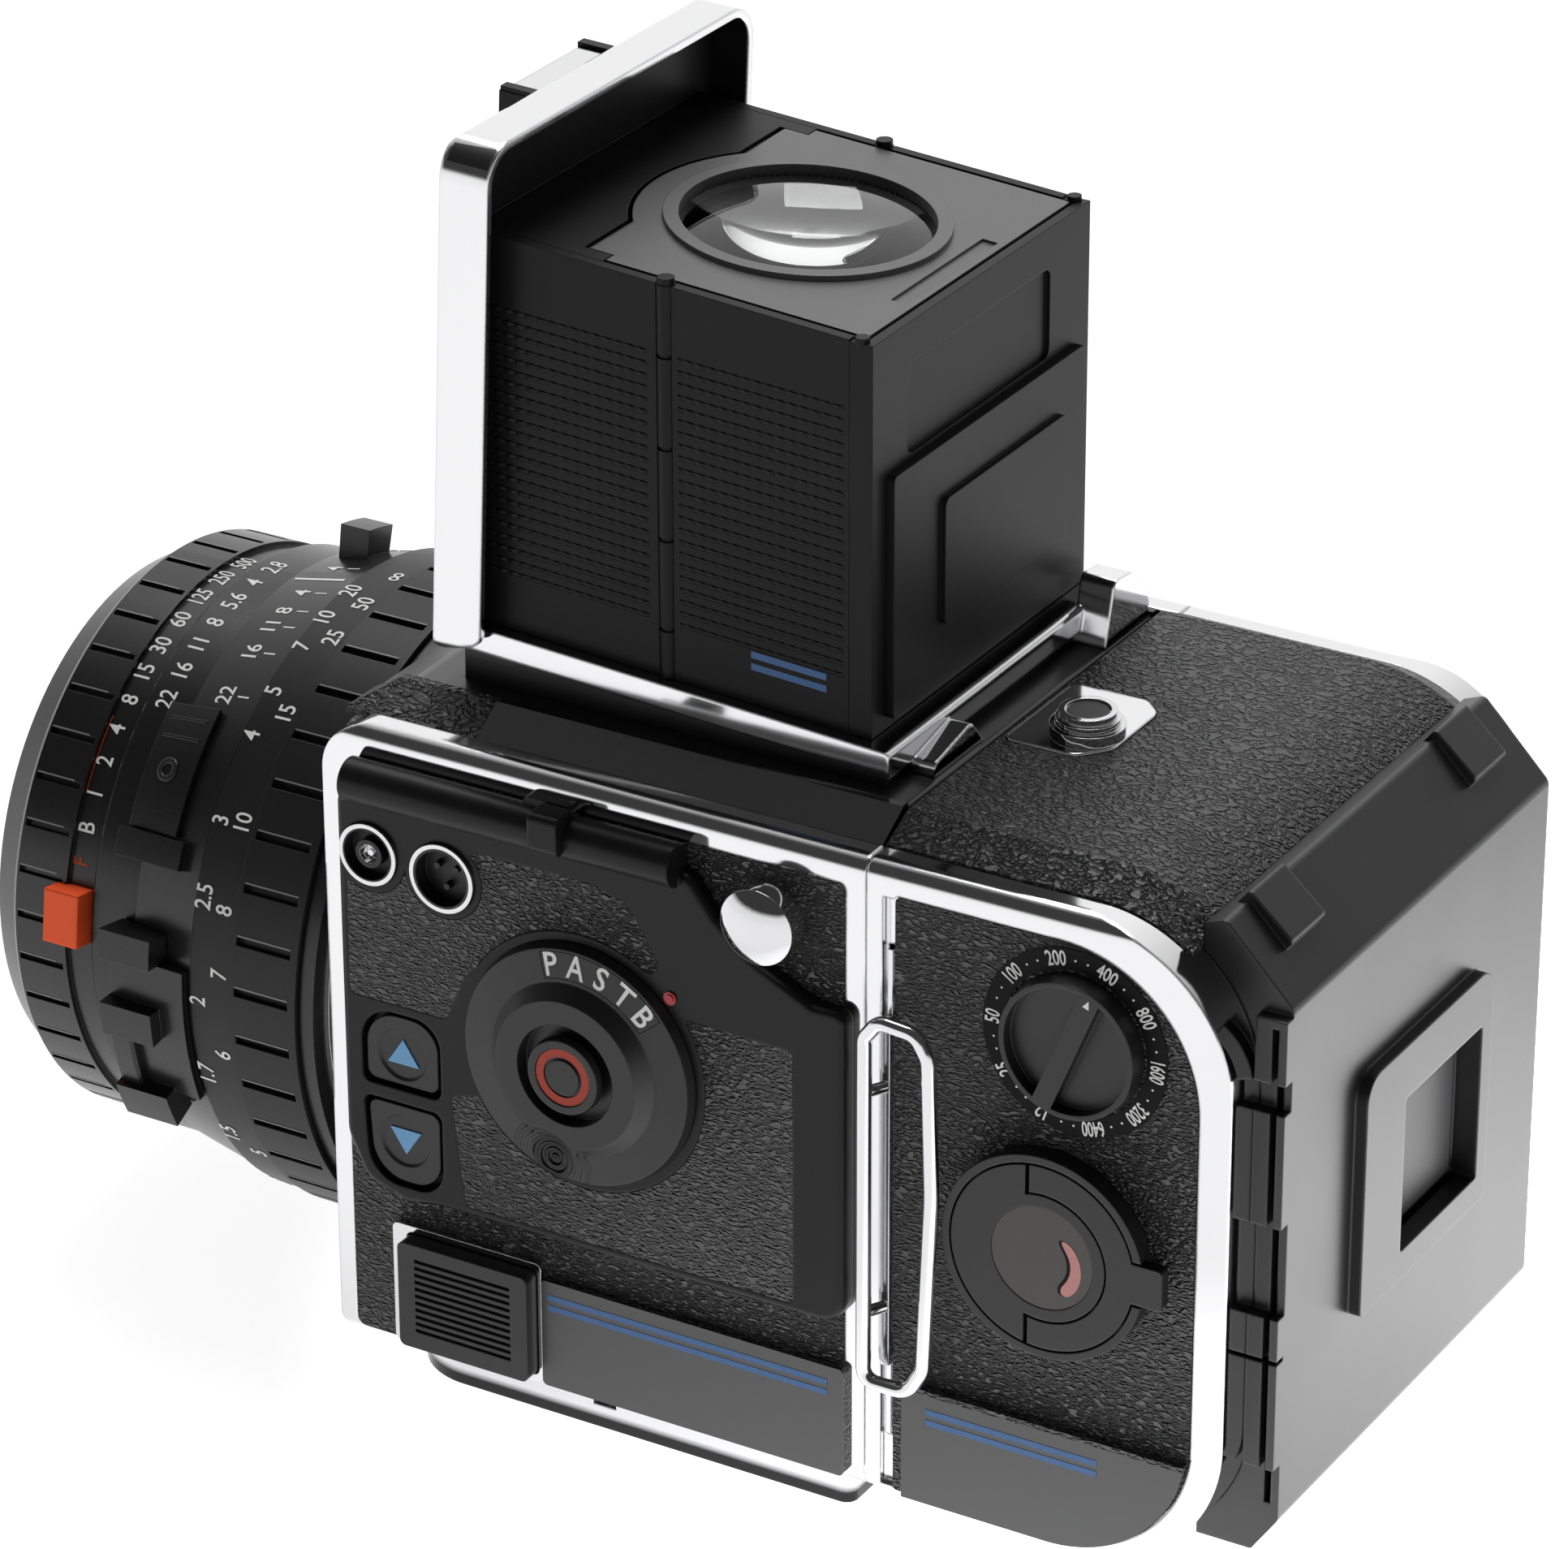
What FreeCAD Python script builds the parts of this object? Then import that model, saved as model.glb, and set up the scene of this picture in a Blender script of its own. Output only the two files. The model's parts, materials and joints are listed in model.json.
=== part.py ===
import FreeCAD
import Part
import math
import os

# Medium format film camera with folding hood, film magazine and lens, in millimetres.
# +Z is up, -Y is the way the lens looks, +X is the side with the mode dial.
# The origin is the centre of the tripod socket, on the underside of the foot.

V = FreeCAD.Vector

# Fits
slip = 0.08            # radial play of a turning or sliding fit
gap = 0.15             # room beside a piece that moves
joint_gap = 0.1        # between the body and the magazine

# Film gate and body casting
gate_side = 56.0
gate_room = 9.5        # from the gate's edge to the body's side
gate_low = 9.2         # from the gate's lower edge to the underside of the casting
gate_high = 10.8       # from the gate's upper edge to the flat top
frame_half = gate_side / 2
body_width = gate_side + 2 * gate_room
body_depth = 68.7
body_height = gate_side + gate_low + gate_high
foot_height = 4.0
bead_rise = 1.0        # polished edge above the flat top
bead_width = 4.2
wall = 2.6
panel_thickness = 1.2
skin = 1.6             # casting left behind a side panel
side = body_width / 2
front = -body_depth / 2
back = body_depth / 2
top = foot_height + body_height
bead_top = top + bead_rise
inner_side = side - panel_thickness - skin
floor_top = foot_height + skin
roof = top - 3.0
panel_inset_front = 2.2
panel_inset_back = 2.35
panel_inset_low = 0.8
panel_inset_high = 3.4
panel_low = foot_height + panel_inset_low
panel_high = bead_top - panel_inset_high
panel_front = front + panel_inset_front
panel_back = back - panel_inset_back
front_leather = 1.0
peg_x = side - 15.5    # pegs that carry the magazine
peg_z = foot_height + 4.2
peg_radius = 1.4
peg_length = 1.8

# Foot and tripod socket
foot_width = body_width - 3.0
foot_front = front + 6.35
foot_back = back - 2.35
socket_radius = 4.76
socket_depth = 6.8
bush_radius = 7.5

# Lens axis and mount
lens_z = foot_height + gate_low + frame_half
ring_radius = 33.5
ring_rise = 1.65
throat_radius = 30.0
throat_bore = 27.6
bayonet_bore = 26.0
bayonet_lip = 1.4
lug_angle = 50.0
lug_count = 3
mount_radius = bayonet_bore - 0.2
lug_radius = throat_bore - 0.25

# Chamber behind the lens
chamber_half = frame_half + 2.0
chamber_wall = 1.5
chamber_outer = chamber_half + chamber_wall
chamber_front = front + 8.75
chamber_back = back - 3.55
chamber_low = foot_height + 4.0
curtain_thickness = 0.9
curtain_half = frame_half + 2.8
roller_x = (chamber_outer + inner_side) / 2
roller_radius = (inner_side - chamber_outer) / 2 - 0.25

# Mirror
mirror_pivot_y = chamber_back - 2.8
mirror_pivot_z = roof - 8.5
mirror_length = 49.0
mirror_angle = 45.0
mirror_pin = 1.2
mirror_glass = 1.8

# Focusing screen
screen_half = frame_half + 0.5
screen_thickness = 1.5

# Controls on the dial side
housing_rise = 2.0
housing_top = side + housing_rise
dial_y = 0.0
dial_z = lens_z + 7.2
dial_radius = 14.6
dial_ring = 10.7       # inner edge of the ring with the marks
dial_plateau = 8.9
dial_ring_height = 1.9
dial_height = 3.6
dial_spigot = 8.0
dial_collar = 6.1      # recess round the button
scoop_angle = -104.0
scoop_radius = 5.6
button_radius = 3.4
button_cap = 4.6
button_cap_height = 1.0
button_proud = 0.5
button_travel = 1.2
sync_y = front + 7.25
sync_z = top - 13.0
sync_radius = 3.7
winder_y = front + 16.85
winder_z = top - 13.5
winder_radius = 4.1
stud_y = back - 11.05
stud_z = top - 8.1
stud_radius = 4.4
stud_neck = 2.6
stud_seat = 1.6        # clear neck below the stud's head
stud_height = 5.4
stud_dome = 7.5        # radius of the head's dome
well_front = front + 5.35
well_back = well_front + 10.5
well_split = dial_z - 10.9
well_low = dial_z - 22.4
well_high = dial_z - 0.5
well_gap = 0.6
key_travel = 0.6
ridge_x = side + 1.9
ridge_z = top - 4.4
ridge_radius = 2.5
switch_y = dial_y - 2.4
housing_round = 0.9
inlay_depth = 0.3

# Battery drawer
drawer_front = front + 9.95
drawer_back = drawer_front + 17.1
drawer_low = foot_height + 2.0
drawer_high = drawer_low + 13.4
drawer_proud = 3.0
drawer_length = 30.0
sleeve_wall = 0.6
sleeve_end = side - drawer_length - 2.5
cell_radius = 5.6
cell_y = (drawer_front + drawer_back) / 2
cell_z = drawer_low + 1.0 + cell_radius
trim_rise = 1.0
trim_high = drawer_high - 0.8

# Winding side
crank_y = dial_y - 2.0
crank_z = lens_z + 0.8
shaft_radius = 3.0
crank_radius = 14.0
crank_thickness = 3.6
arm_reach = 24.0
gear_module = 0.8
gear_teeth = 20
gear_width = 2.4
gear_axle = 1.5
gear_distance = gear_module * gear_teeth + 0.05
arm_x = -side - 0.3 - crank_thickness - 0.9
grip_z = crank_z + arm_reach - 3.0
grip_pin = 0.6
grip_pin_out = 1.1
grip_length = 15.0

# Buttons and cable socket on the front
release_x = -side + 6.2
release_z = foot_height + 6.5
release_stem = 2.4
release_cap = 3.6
release_travel = 2.0
release_proud = 5.2
lens_release_z = top - 10.0
lens_release_cap = 2.8
lens_release_proud = 4.6
cable_x = side - 6.0
cable_z = release_z
cable_boss = 3.0
cable_bore = 1.5
cable_proud = 0.8

# Hood
deck_rise = 3.4
hood_half = side - 13.75
hood_wall = 1.2
hood_hinge_y = 1.75
hood_rear = back - 7.15
base_half = side - 12.0
base_front = front + 9.45
base_back = back - 4.05
base_z = top + 8.8     # chrome frame's top at Y 0
base_slope = 0.053     # it falls towards the back
base_band = 2.9
hood_height = 45.77
crown_z = base_z + hood_height    # top of the hood at Y 0
crown_slope = 0.0667
knuckle_radius = 1.05
post_depth = 2.8
lift = 0.05            # paint gap between the hood's folded sheets
view_half = hood_half - 1.85
view_front = base_front + 4.7
view_back = base_back - 6.3
lid_half = side - 10.0
lid_depth = 6.0
lid_height = 60.0
lid_sheet = 1.0
lid_y = base_front - 1.15
lid_z = base_z - 1.8
lid_lean = 2.5
lining = 0.5

# Magnifier
flip_y = hood_rear - 36.35
leaf = 1.6             # thickness of the magnifier plate and the shelf
lens_back = 14.65      # from the flip axis to the magnifier's centre
glass_radius = 14.0
cell_outer = 15.7
arc_radius = 18.9
flip_pin = 0.55
flip_z = crown_z - crown_slope * flip_y - leaf / 2
arm_inner = hood_half - 3.25
arm_back = 2.6
shelf_front = flip_y - 4.25
shelf_half = hood_half - hood_wall - 0.1

# Lens barrel, along -Y
flange_y = front - 3.65
flange_radius = 35.5
flange_bore = 23.6
collar_radius = 38.2
barrel_radius = 36.2
sleeve_radius = 34.25
sleeve_bore = 31.85
focus_back = flange_y - 0.4
grip_front = flange_y - 9.3
focus_front = flange_y - 15.0
focus_radius = 38.9
barrel_front = focus_front + 2.0
scale_front = flange_y - 24.4
aperture_front = flange_y - 30.9
speed_step = flange_y - 34.9
speed_front = flange_y - 42.4
tube_radius = 32.6
cone_front = 36.0      # radius of the fixed scale cone at its front and its back
cone_back = 37.9
aperture_radius = 35.5
speed_radius = 34.3
rib_radius = 34.9
tab_angle = 7.5
tab_front = speed_step - 1.3
tab_back = aperture_front - 0.6
tab_half = 3.2
tab_travel = 0.7
tab_reach = speed_radius + 2.9
bezel_front = speed_front - 4.0
bezel_depth = 2.8
bezel_radius = 31.75
bezel_bore = 30.2
optics_bore = 29.8
glass_front_radius = 21.9
glass_rear_radius = 19.9
cell_front = speed_front - 0.6
cell_back = flange_y - 7.0
iris_y = scale_front - 1.0
grip_slots = 40
rib_slots = 40

# Magazine
mag_front = back + joint_gap
mag_back = mag_front + 43.5
mag_corner = 18.0
mag_wall = 6.5
cover_rise = 3.4       # leather above the flat top of the casting
cover_back = mag_back - 7.05
slide_y = mag_front + 2.75
slide_thickness = 0.6
slide_low = lens_z - frame_half - 1.7
slide_high = lens_z + frame_half + 1.8
slide_reach = frame_half + 3.0
handle_x = side + 2.8
handle_wire = 0.85
handle_low = lens_z - 21.6
handle_high = lens_z + 22.8
insert_corner = 16.7
insert_back = mag_back - 3.8
insert_front = mag_front + 3.55
plate_thickness = 1.5
near_plate_x = side - panel_thickness - 2.8
far_plate_x = -inner_side + 0.7 + plate_thickness
spindle = 2.0
spool_y = insert_back - 14.65
spool_high_z = lens_z + 19.3
spool_low_z = lens_z - 18.7
spool_flange = 12.0
spool_core = 4.5
spool_pin = 2.5
iso_y = insert_back - 14.55
iso_z = panel_high - 11.5
iso_radius = 8.2
iso_rise = 2.2
iso_bar = 1.15
iso_turn = -22.0
key_y = insert_back - 16.85
key_z = panel_low + 36.0
key_radius = 12.1
key_rim = 11.2         # inside of the raised rim
key_hub = 7.5
key_window = 6.1
key_base = 0.75
key_rise = 2.35
tab_width = 2.4
flap_y = key_y - 1.2
flap_pin = 0.35
flap_x = side + 0.05 + key_base + 0.85
flap_low = side + 0.05 + key_base + 0.1
holder_back = mag_back + 3.65
holder_half = side - 6.5
window_half = 13.0
lock_x = 3.7
lock_y = mag_front + 8.15
lock_radius = 3.2


# Helpers
def place(axis, a, b, along):
    if axis == "X":
        return V(along, a, b)
    if axis == "Y":
        return V(a, along, b)
    return V(a, b, along)


# A corner of an outline: where its arc starts, its middle and where it ends.
def corner(before, here, after):
    a, b = here[0], here[1]
    radius = here[2] if len(here) > 2 else 0.0
    ua, ub = before[0] - a, before[1] - b
    va, vb = after[0] - a, after[1] - b
    u_length = math.hypot(ua, ub)
    v_length = math.hypot(va, vb)
    ua, ub = ua / u_length, ub / u_length
    va, vb = va / v_length, vb / v_length
    half = math.acos(max(-1.0, min(1.0, ua * va + ub * vb))) / 2
    if radius <= 0 or half > 1.55:
        return (a, b), None, (a, b)
    reach = min(radius / math.tan(half), 0.49 * u_length, 0.49 * v_length)
    radius = reach * math.tan(half)
    wa, wb = ua + va, ub + vb
    w_length = math.hypot(wa, wb)
    inward = radius / math.sin(half) - radius
    start = (a + ua * reach, b + ub * reach)
    middle = (a + wa / w_length * inward, b + wb / w_length * inward)
    end = (a + va * reach, b + vb * reach)
    return start, middle, end


# A closed wire through corner points (a, b) or (a, b, radius).
def outline(points, axis, along):
    count = len(points)
    marks = [corner(points[i - 1], points[i], points[(i + 1) % count]) for i in range(count)]
    edges = []
    for i in range(count):
        start, middle, end = marks[i]
        if middle is not None:
            arc = Part.Arc(place(axis, *start, along), place(axis, *middle, along), place(axis, *end, along))
            edges.append(arc.toShape())
        following = marks[(i + 1) % count][0]
        if math.hypot(end[0] - following[0], end[1] - following[1]) > 1e-6:
            line = Part.LineSegment(place(axis, *end, along), place(axis, *following, along))
            edges.append(line.toShape())
    return Part.Wire(edges)


def prism(points, axis, low, high):
    face = Part.Face(outline(points, axis, low))
    return face.extrude(place(axis, 0, 0, high - low))


def box(x0, x1, y0, y1, z0, z1):
    return Part.makeBox(x1 - x0, y1 - y0, z1 - z0, V(x0, y0, z0))


def rod(axis, a, b, radius, low, high):
    return Part.makeCylinder(radius, high - low, place(axis, a, b, low), place(axis, 0, 0, 1))


def taper(axis, a, b, low_radius, high_radius, low, high):
    return Part.makeCone(low_radius, high_radius, high - low, place(axis, a, b, low), place(axis, 0, 0, 1))


def tube(axis, a, b, outer, inner, low, high):
    return rod(axis, a, b, outer, low, high).cut(rod(axis, a, b, inner, low - 1, high + 1))


def rounded(a0, a1, b0, b1, radius):
    return [(a0, b0, radius), (a1, b0, radius), (a1, b1, radius), (a0, b1, radius)]


def fuse(shapes):
    return shapes[0].multiFuse(shapes[1:]).removeSplitter()


def cut(shape, tools):
    return shape.cut(Part.makeCompound(tools)) if len(tools) > 1 else shape.cut(tools[0])


# A ring turned round the lens axis, from points (y, radius).
def turned(points):
    face = Part.Face(outline([(y, lens_z + radius) for y, radius in points], "X", 0.0))
    return face.revolve(V(0, 0, lens_z), V(0, 1, 0), 360)


# A wedge round the lens axis, between two angles measured from +X towards +Z.
def wedge(y0, y1, start, end, reach=60.0):
    steps = max(2, int((end - start) / 40) + 2)
    points = [(0.0, lens_z)]
    for i in range(steps):
        angle = math.radians(start + (end - start) * i / (steps - 1))
        points.append((reach * math.cos(angle), lens_z + reach * math.sin(angle)))
    return prism(points, "Y", y0, y1)


def turn_lens(shape, angle):
    moved = shape.copy()
    moved.rotate(V(0, 0, lens_z), V(0, -1, 0), angle)
    return moved


# Blocks standing evenly round the lens axis, used to cut slots.
def slots(count, radius, depth, width, y0, y1):
    one = box(radius - depth, radius + 1.0, y0, y1, lens_z - width / 2, lens_z + width / 2)
    return [turn_lens(one, 360.0 * (i + 0.5) / count) for i in range(count)]


def base_top(y):
    return base_z - base_slope * y


def crown(y):
    return crown_z - crown_slope * y


def save(name, shape):
    if shape.ShapeType == "Compound" and len(shape.Solids) == 1:
        shape = shape.Solids[0]
    shape.exportStep("parts/" + name + ".step")


# Outlines that several pieces share
def casting_section(high):
    inner = side - bead_width
    return [(-side, foot_height, 1.5), (side, foot_height, 1.5), (side, high, 2.4), (inner, high, 0.4),
            (inner, top), (-inner, top), (-inner, high, 0.4), (-side, high, 2.4)]


def body_panel(inset=0.0):
    return [(panel_front + inset, panel_low + inset, 1.2), (panel_back - inset, panel_low + inset, 0.8),
            (panel_back - inset, panel_high - inset, 0.8), (panel_front + inset, panel_high - inset, 4.5)]


def insert_panel(inset=0.0):
    radius = insert_corner - inset
    return [(insert_front + inset, panel_low + inset, 0.6), (insert_back - inset, panel_low + inset, radius),
            (insert_back - inset, panel_high - inset, radius),
            (insert_front + inset, panel_high - inset, 0.6)]


def drawer_outline(inset=0.0):
    return rounded(drawer_front + inset, drawer_back - inset, drawer_low + inset, drawer_high - inset, 0.8)


# Body
def body_shell():
    profile = [(front, foot_height, 2.0), (back, foot_height, 0.3), (back, bead_top, 0.3),
               (front, bead_top, 6.0)]
    shell = prism(profile, "X", -side, side).common(
        prism(casting_section(bead_top), "Y", front - 1, back + 1))
    holes = [
        box(-inner_side, inner_side, front + wall, back - wall + 0.2, floor_top, roof),
        prism(body_panel(), "X", side - panel_thickness, side + 1),
        prism(body_panel(), "X", -side - 1, -side + panel_thickness),
        rod("Y", 0, lens_z, throat_radius + 0.05, front - 1, front + wall + 1),
        box(-frame_half, frame_half, back - wall - 1, back + 1, lens_z - frame_half, lens_z + frame_half),
        box(-screen_half - 0.05, screen_half + 0.05, -screen_half - 0.05, screen_half + 0.05,
            top - screen_thickness, top + 1),
        box(-screen_half + 1.5, screen_half - 1.5, -screen_half + 1.5, screen_half - 1.5, roof - 1, top),
        prism(rounded(-side + 2.5, side - 2.5, foot_height + 2, top - 1.5, 4), "Y", front - 1,
              front + front_leather),
        prism(drawer_outline(-gap), "X", inner_side - 1, side + 1),
        rod("X", crank_y, crank_z, shaft_radius + slip, -side - 1, -inner_side + 1),
        rod("Z", 0, 0, bush_radius, 0, floor_top + 1),
        rod("Y", release_x, release_z, release_stem + slip, front - 1, front + wall + 1),
        rod("Y", release_x, lens_release_z, release_stem + slip, front - 1, front + wall + 1),
        rod("Y", cable_x, cable_z, cable_boss, front - 1, front + wall + 1),
    ]
    for sign in (-1, 1):
        holes.append(rod("Y", sign * peg_x, peg_z, peg_radius + slip, back - wall, back + 1))
        holes.append(rod("X", stud_y, stud_z, stud_neck, *sorted((sign * (side - 2.2), sign * (side + 1)))))
    return cut(shell, holes)


def side_panel_holes(sign):
    low, high = sorted((sign * (side - panel_thickness - 1), sign * (side + 1)))
    return [rod("X", stud_y, stud_z, stud_neck, low, high)]


def left_side_panel():
    panel = prism(body_panel(0.05), "X", side - panel_thickness, side)
    return cut(panel,
               side_panel_holes(1) + [prism(drawer_outline(-gap), "X", side - panel_thickness - 1, side + 1)])


def right_side_panel():
    panel = prism(body_panel(0.05), "X", -side, -side + panel_thickness)
    hole = rod("X", crank_y, crank_z, shaft_radius + 0.5, -side - 1, -side + panel_thickness + 1)
    return cut(panel, side_panel_holes(-1) + [hole])


def front_panel():
    panel = prism(rounded(-side + 2.55, side - 2.55, foot_height + 2.05, top - 1.55, 4), "Y",
                  front + 0.1, front + front_leather)
    holes = [
        rod("Y", 0, lens_z, ring_radius + 0.1, front - 1, front + 2),
        rod("Y", release_x, release_z, release_stem + slip, front - 1, front + 2),
        rod("Y", release_x, lens_release_z, release_stem + slip, front - 1, front + 2),
        rod("Y", cable_x, cable_z, cable_boss + 0.05, front - 1, front + 2),
    ]
    return cut(panel, holes)


def foot_plate():
    half = foot_width / 2
    plate = prism([(-half, foot_front, 9), (half, foot_front, 9), (half, foot_back, 1.5),
                   (-half, foot_back, 1.5)],
                  "Z", 0, foot_height)
    groove = box(-half - 1, half + 1, -1.5, 1.5, foot_height - 1.2, foot_height)
    edge = cut(groove, [box(-half + 3, half - 3, -2, 2, 0, foot_height)])
    return cut(plate, [rod("Z", 0, 0, bush_radius, -1, foot_height + 1), edge])


def tripod_bush():
    return tube("Z", 0, 0, bush_radius, socket_radius, 0, socket_depth)


def lens_mount_ring():
    ring = turned([(front - ring_rise, bayonet_bore), (front - ring_rise, ring_radius), (front, ring_radius),
                   (front + front_leather, ring_radius), (front + front_leather, throat_radius),
                   (front + wall, throat_radius), (front + wall, throat_bore),
                   (front - ring_rise + bayonet_lip, throat_bore),
                   (front - ring_rise + bayonet_lip, bayonet_bore)])
    passage = turned([(front - ring_rise - 1, bayonet_bore - 1), (front - ring_rise - 1, throat_bore),
                      (front + wall, throat_bore), (front + wall, bayonet_bore - 1)])
    for i in range(lug_count):
        start = 360.0 * i / lug_count + lug_angle / 2 + 4
        way = passage.common(wedge(front - 5, front + 5, start, start + 120 - lug_angle - 8, 40.0))
        ring = ring.cut(way)
    return ring


def mirror_box():
    outer = chamber_outer
    shell = box(-outer, outer, chamber_front, chamber_back, chamber_low, roof)
    inside = box(-chamber_half, chamber_half, chamber_front - 1, chamber_back + 1,
                 chamber_low + chamber_wall, roof + 1)
    shell = cut(shell, [inside, box(sleeve_end - gap, outer + 1, drawer_front - sleeve_wall - 0.1,
                                    drawer_back + sleeve_wall + 0.1, chamber_low - 1,
                                    drawer_high + sleeve_wall + 0.1),
                        rod("X", mirror_pivot_y, mirror_pivot_z, mirror_pin + slip, -outer - 1, outer + 1)])
    axle = rod("X", crank_y + gear_distance, crank_z, gear_axle, -inner_side + 0.2, -chamber_half)
    foot_x = frame_half - 8.0
    feet = [box(sign * foot_x - 2, sign * foot_x + 2, chamber_back - 12, chamber_back - 6, floor_top,
                chamber_low)
            for sign in (-1, 1)]
    return fuse([shell, axle] + feet)


def battery_sleeve():
    outer = prism(rounded(drawer_front - sleeve_wall, drawer_back + sleeve_wall, floor_top,
                          drawer_high + sleeve_wall, 0.8), "X", sleeve_end, inner_side)
    inside = prism(rounded(drawer_front - gap, drawer_back + gap, drawer_low - 0.1, drawer_high + gap, 0.5),
                   "X", sleeve_end + sleeve_wall, inner_side + 1)
    return outer.cut(inside)


def shutter_curtain():
    return box(-chamber_half - 1, chamber_half + 1, chamber_back + 0.05, chamber_back + curtain_thickness,
               lens_z - curtain_half, lens_z + curtain_half)


def shutter_rollers():
    return Part.makeCompound([rod("Z", sign * roller_x, chamber_back - 0.9, roller_radius, floor_top, roof)
                              for sign in (-1, 1)])


def mirror_glass_plate():
    return lean_mirror(box(-frame_half, frame_half, mirror_pivot_y - 3 - mirror_length, mirror_pivot_y - 3,
                           mirror_pivot_z + 0.2, mirror_pivot_z + 0.2 + mirror_glass))


def mirror_frame():
    plate = box(-frame_half, frame_half, mirror_pivot_y - 3 - mirror_length, mirror_pivot_y - 1,
                mirror_pivot_z - 1.0, mirror_pivot_z + 0.2)
    barrel = rod("X", mirror_pivot_y, mirror_pivot_z, mirror_pin + 0.7, -frame_half, frame_half)
    pin = rod("X", mirror_pivot_y, mirror_pivot_z, mirror_pin, -chamber_half - 1, chamber_half + 1)
    return lean_mirror(fuse([plate, barrel, pin]))


def lean_mirror(shape):
    shape.rotate(V(0, mirror_pivot_y, mirror_pivot_z), V(1, 0, 0), mirror_angle)
    return shape


def focusing_screen():
    return box(-screen_half, screen_half, -screen_half, screen_half, top - screen_thickness, top)


# Deck and hood seat
def shoulder(sign, y0, y1, rise):
    outer = side - bead_width
    points = [(outer, top), (outer, top + 0.7), (outer - 4.6, top + rise), (outer - 5.6, top + rise),
              (outer - 5.6, top)]
    return prism([(sign * x, z) for x, z in points], "Y", y0, y1)


def deck_covers():
    covers = [shoulder(sign, front + 0.6, back - 0.4, deck_rise) for sign in (-1, 1)]
    nose = prism([(front - 1, top - 1), (back + 1, top - 1), (back + 1, top + deck_rise + 1),
                  (front + 6.5, top + deck_rise + 1), (front - 1, top - 0.2)], "X", -side, side)
    return Part.makeCompound([cover.common(nose) for cover in covers])


def deck_plate():
    half = side - bead_width - 5.65
    plate = prism([(front + 0.6, top), (back - 0.4, top), (back - 0.4, top + 3.0, 0.6),
                   (front + 6.0, top + 3.0, 3),
                   (front + 0.6, top + 0.6, 0.5)], "X", -half, half)
    return plate.cut(box(-base_half + 1.0, base_half - 1.0, base_front + 0.9, base_back - 0.9, top - 1,
                         top + 5))


def hood_seat():
    half = base_half - 1.1
    low = top
    y0, y1 = base_front + 1.0, base_back - 1.0
    points = [(y0, low), (y1, low), (y1, base_top(y1) - base_band), (y0, base_top(y0) - base_band)]
    return prism(points, "X", -half, half).cut(
        box(-view_half, view_half, view_front, view_back, low - 1, base_z + 5))


def hood_base():
    points = [(base_front, base_top(base_front) - base_band), (base_back, base_top(base_back) - base_band),
              (base_back, base_top(base_back), 0.6), (base_front, base_top(base_front), 0.6)]
    section = [(-base_half, top), (base_half, top), (base_half, base_z + 6), (-base_half, base_z + 6)]
    frame = prism(points, "X", -base_half, base_half).common(
        prism(section, "Y", base_front - 1, base_back + 1))
    frame = frame.cut(box(-view_half, view_half, view_front, view_back, top, base_z + 9))
    low = top + 3.05
    near_x, far_x = base_half - 5.0, -base_half - 1.7
    near = prism([(near_x, low), (near_x, base_z - 4.2, 0.8), (near_x - 8.1, base_z - 2.6, 0.8),
                  (near_x - 10.9, low)], "Y", base_back - 0.2, base_back + 2.8)
    far = prism([(far_x + 10.2, low), (far_x + 8.2, base_z + 1.8, 1.0), (far_x + 4.2, base_z + 1.4, 1.2),
                 (far_x, base_z - 2.4, 1.2), (far_x, low)], "Y", base_back - 0.9, base_back + 3.4)
    return fuse([frame, near, far])


# Hood walls
def wall_panel(sign, points):
    low, high = sorted((sign * (hood_half - hood_wall), sign * hood_half))
    panel = prism(points, "X", low, high)
    x = sign * (hood_half - hood_wall / 2)
    return panel.cut(rod("Z", x, hood_hinge_y, knuckle_radius + 0.05, base_z - 9, crown_z + 9))


def lid_plane(z, inset):
    lean = math.radians(lid_lean)
    return lid_y + (z - lid_z) * math.tan(lean) + inset / math.cos(lean)


def front_wall(sign):
    start_low = lid_plane(base_top(lid_y), lid_sheet + lining + lift)
    start_high = lid_plane(crown(lid_y), lid_sheet + lining + lift)
    end = hood_hinge_y - 0.95
    return wall_panel(sign, [(start_low, base_top(start_low) + lift), (end, base_top(end) + lift),
                             (end, crown(end)), (start_high, crown(start_high))])


def rear_wall(sign):
    start = hood_hinge_y + 0.95
    end = hood_rear - post_depth - lift
    return wall_panel(sign, [(start, base_top(start) + lift), (end, base_top(end) + lift),
                             (end, crown(end)), (start, crown(start))])


def hood_hinge(sign):
    x = sign * (hood_half - hood_wall / 2)
    column = rod("Z", x, hood_hinge_y, knuckle_radius, base_top(hood_hinge_y) + lift, crown(hood_hinge_y))
    rings = [tube("Z", x, hood_hinge_y, knuckle_radius + 0.5, knuckle_radius - 0.25, z - 0.2, z + 0.2)
             for z in [base_z + 5.7 + 10.6 * i for i in range(4)]]
    return cut(column, rings)


def hood_rear_upper():
    y0 = hood_rear - hood_wall
    back_sheet = prism([(-hood_half, base_top(y0) + lift), (hood_half, base_top(y0) + lift),
                        (hood_half, crown(hood_rear)), (-hood_half, crown(hood_rear))], "Y", y0, hood_rear)
    posts = []
    for sign in (-1, 1):
        low, high = sorted((sign * (hood_half - hood_wall), sign * hood_half))
        start = hood_rear - post_depth
        posts.append(prism([(start, base_top(start) + lift), (hood_rear, base_top(start) + lift),
                            (hood_rear, crown(hood_rear)), (start, crown(hood_rear))], "X", low, high))
    recess = prism(rounded(-view_half + 7.1, view_half - 5.5, base_z + 28.8, base_z + 39.3, 1.2), "Y",
                   hood_rear - 0.5, hood_rear + 1)
    return fuse([back_sheet] + posts).cut(recess)


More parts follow.
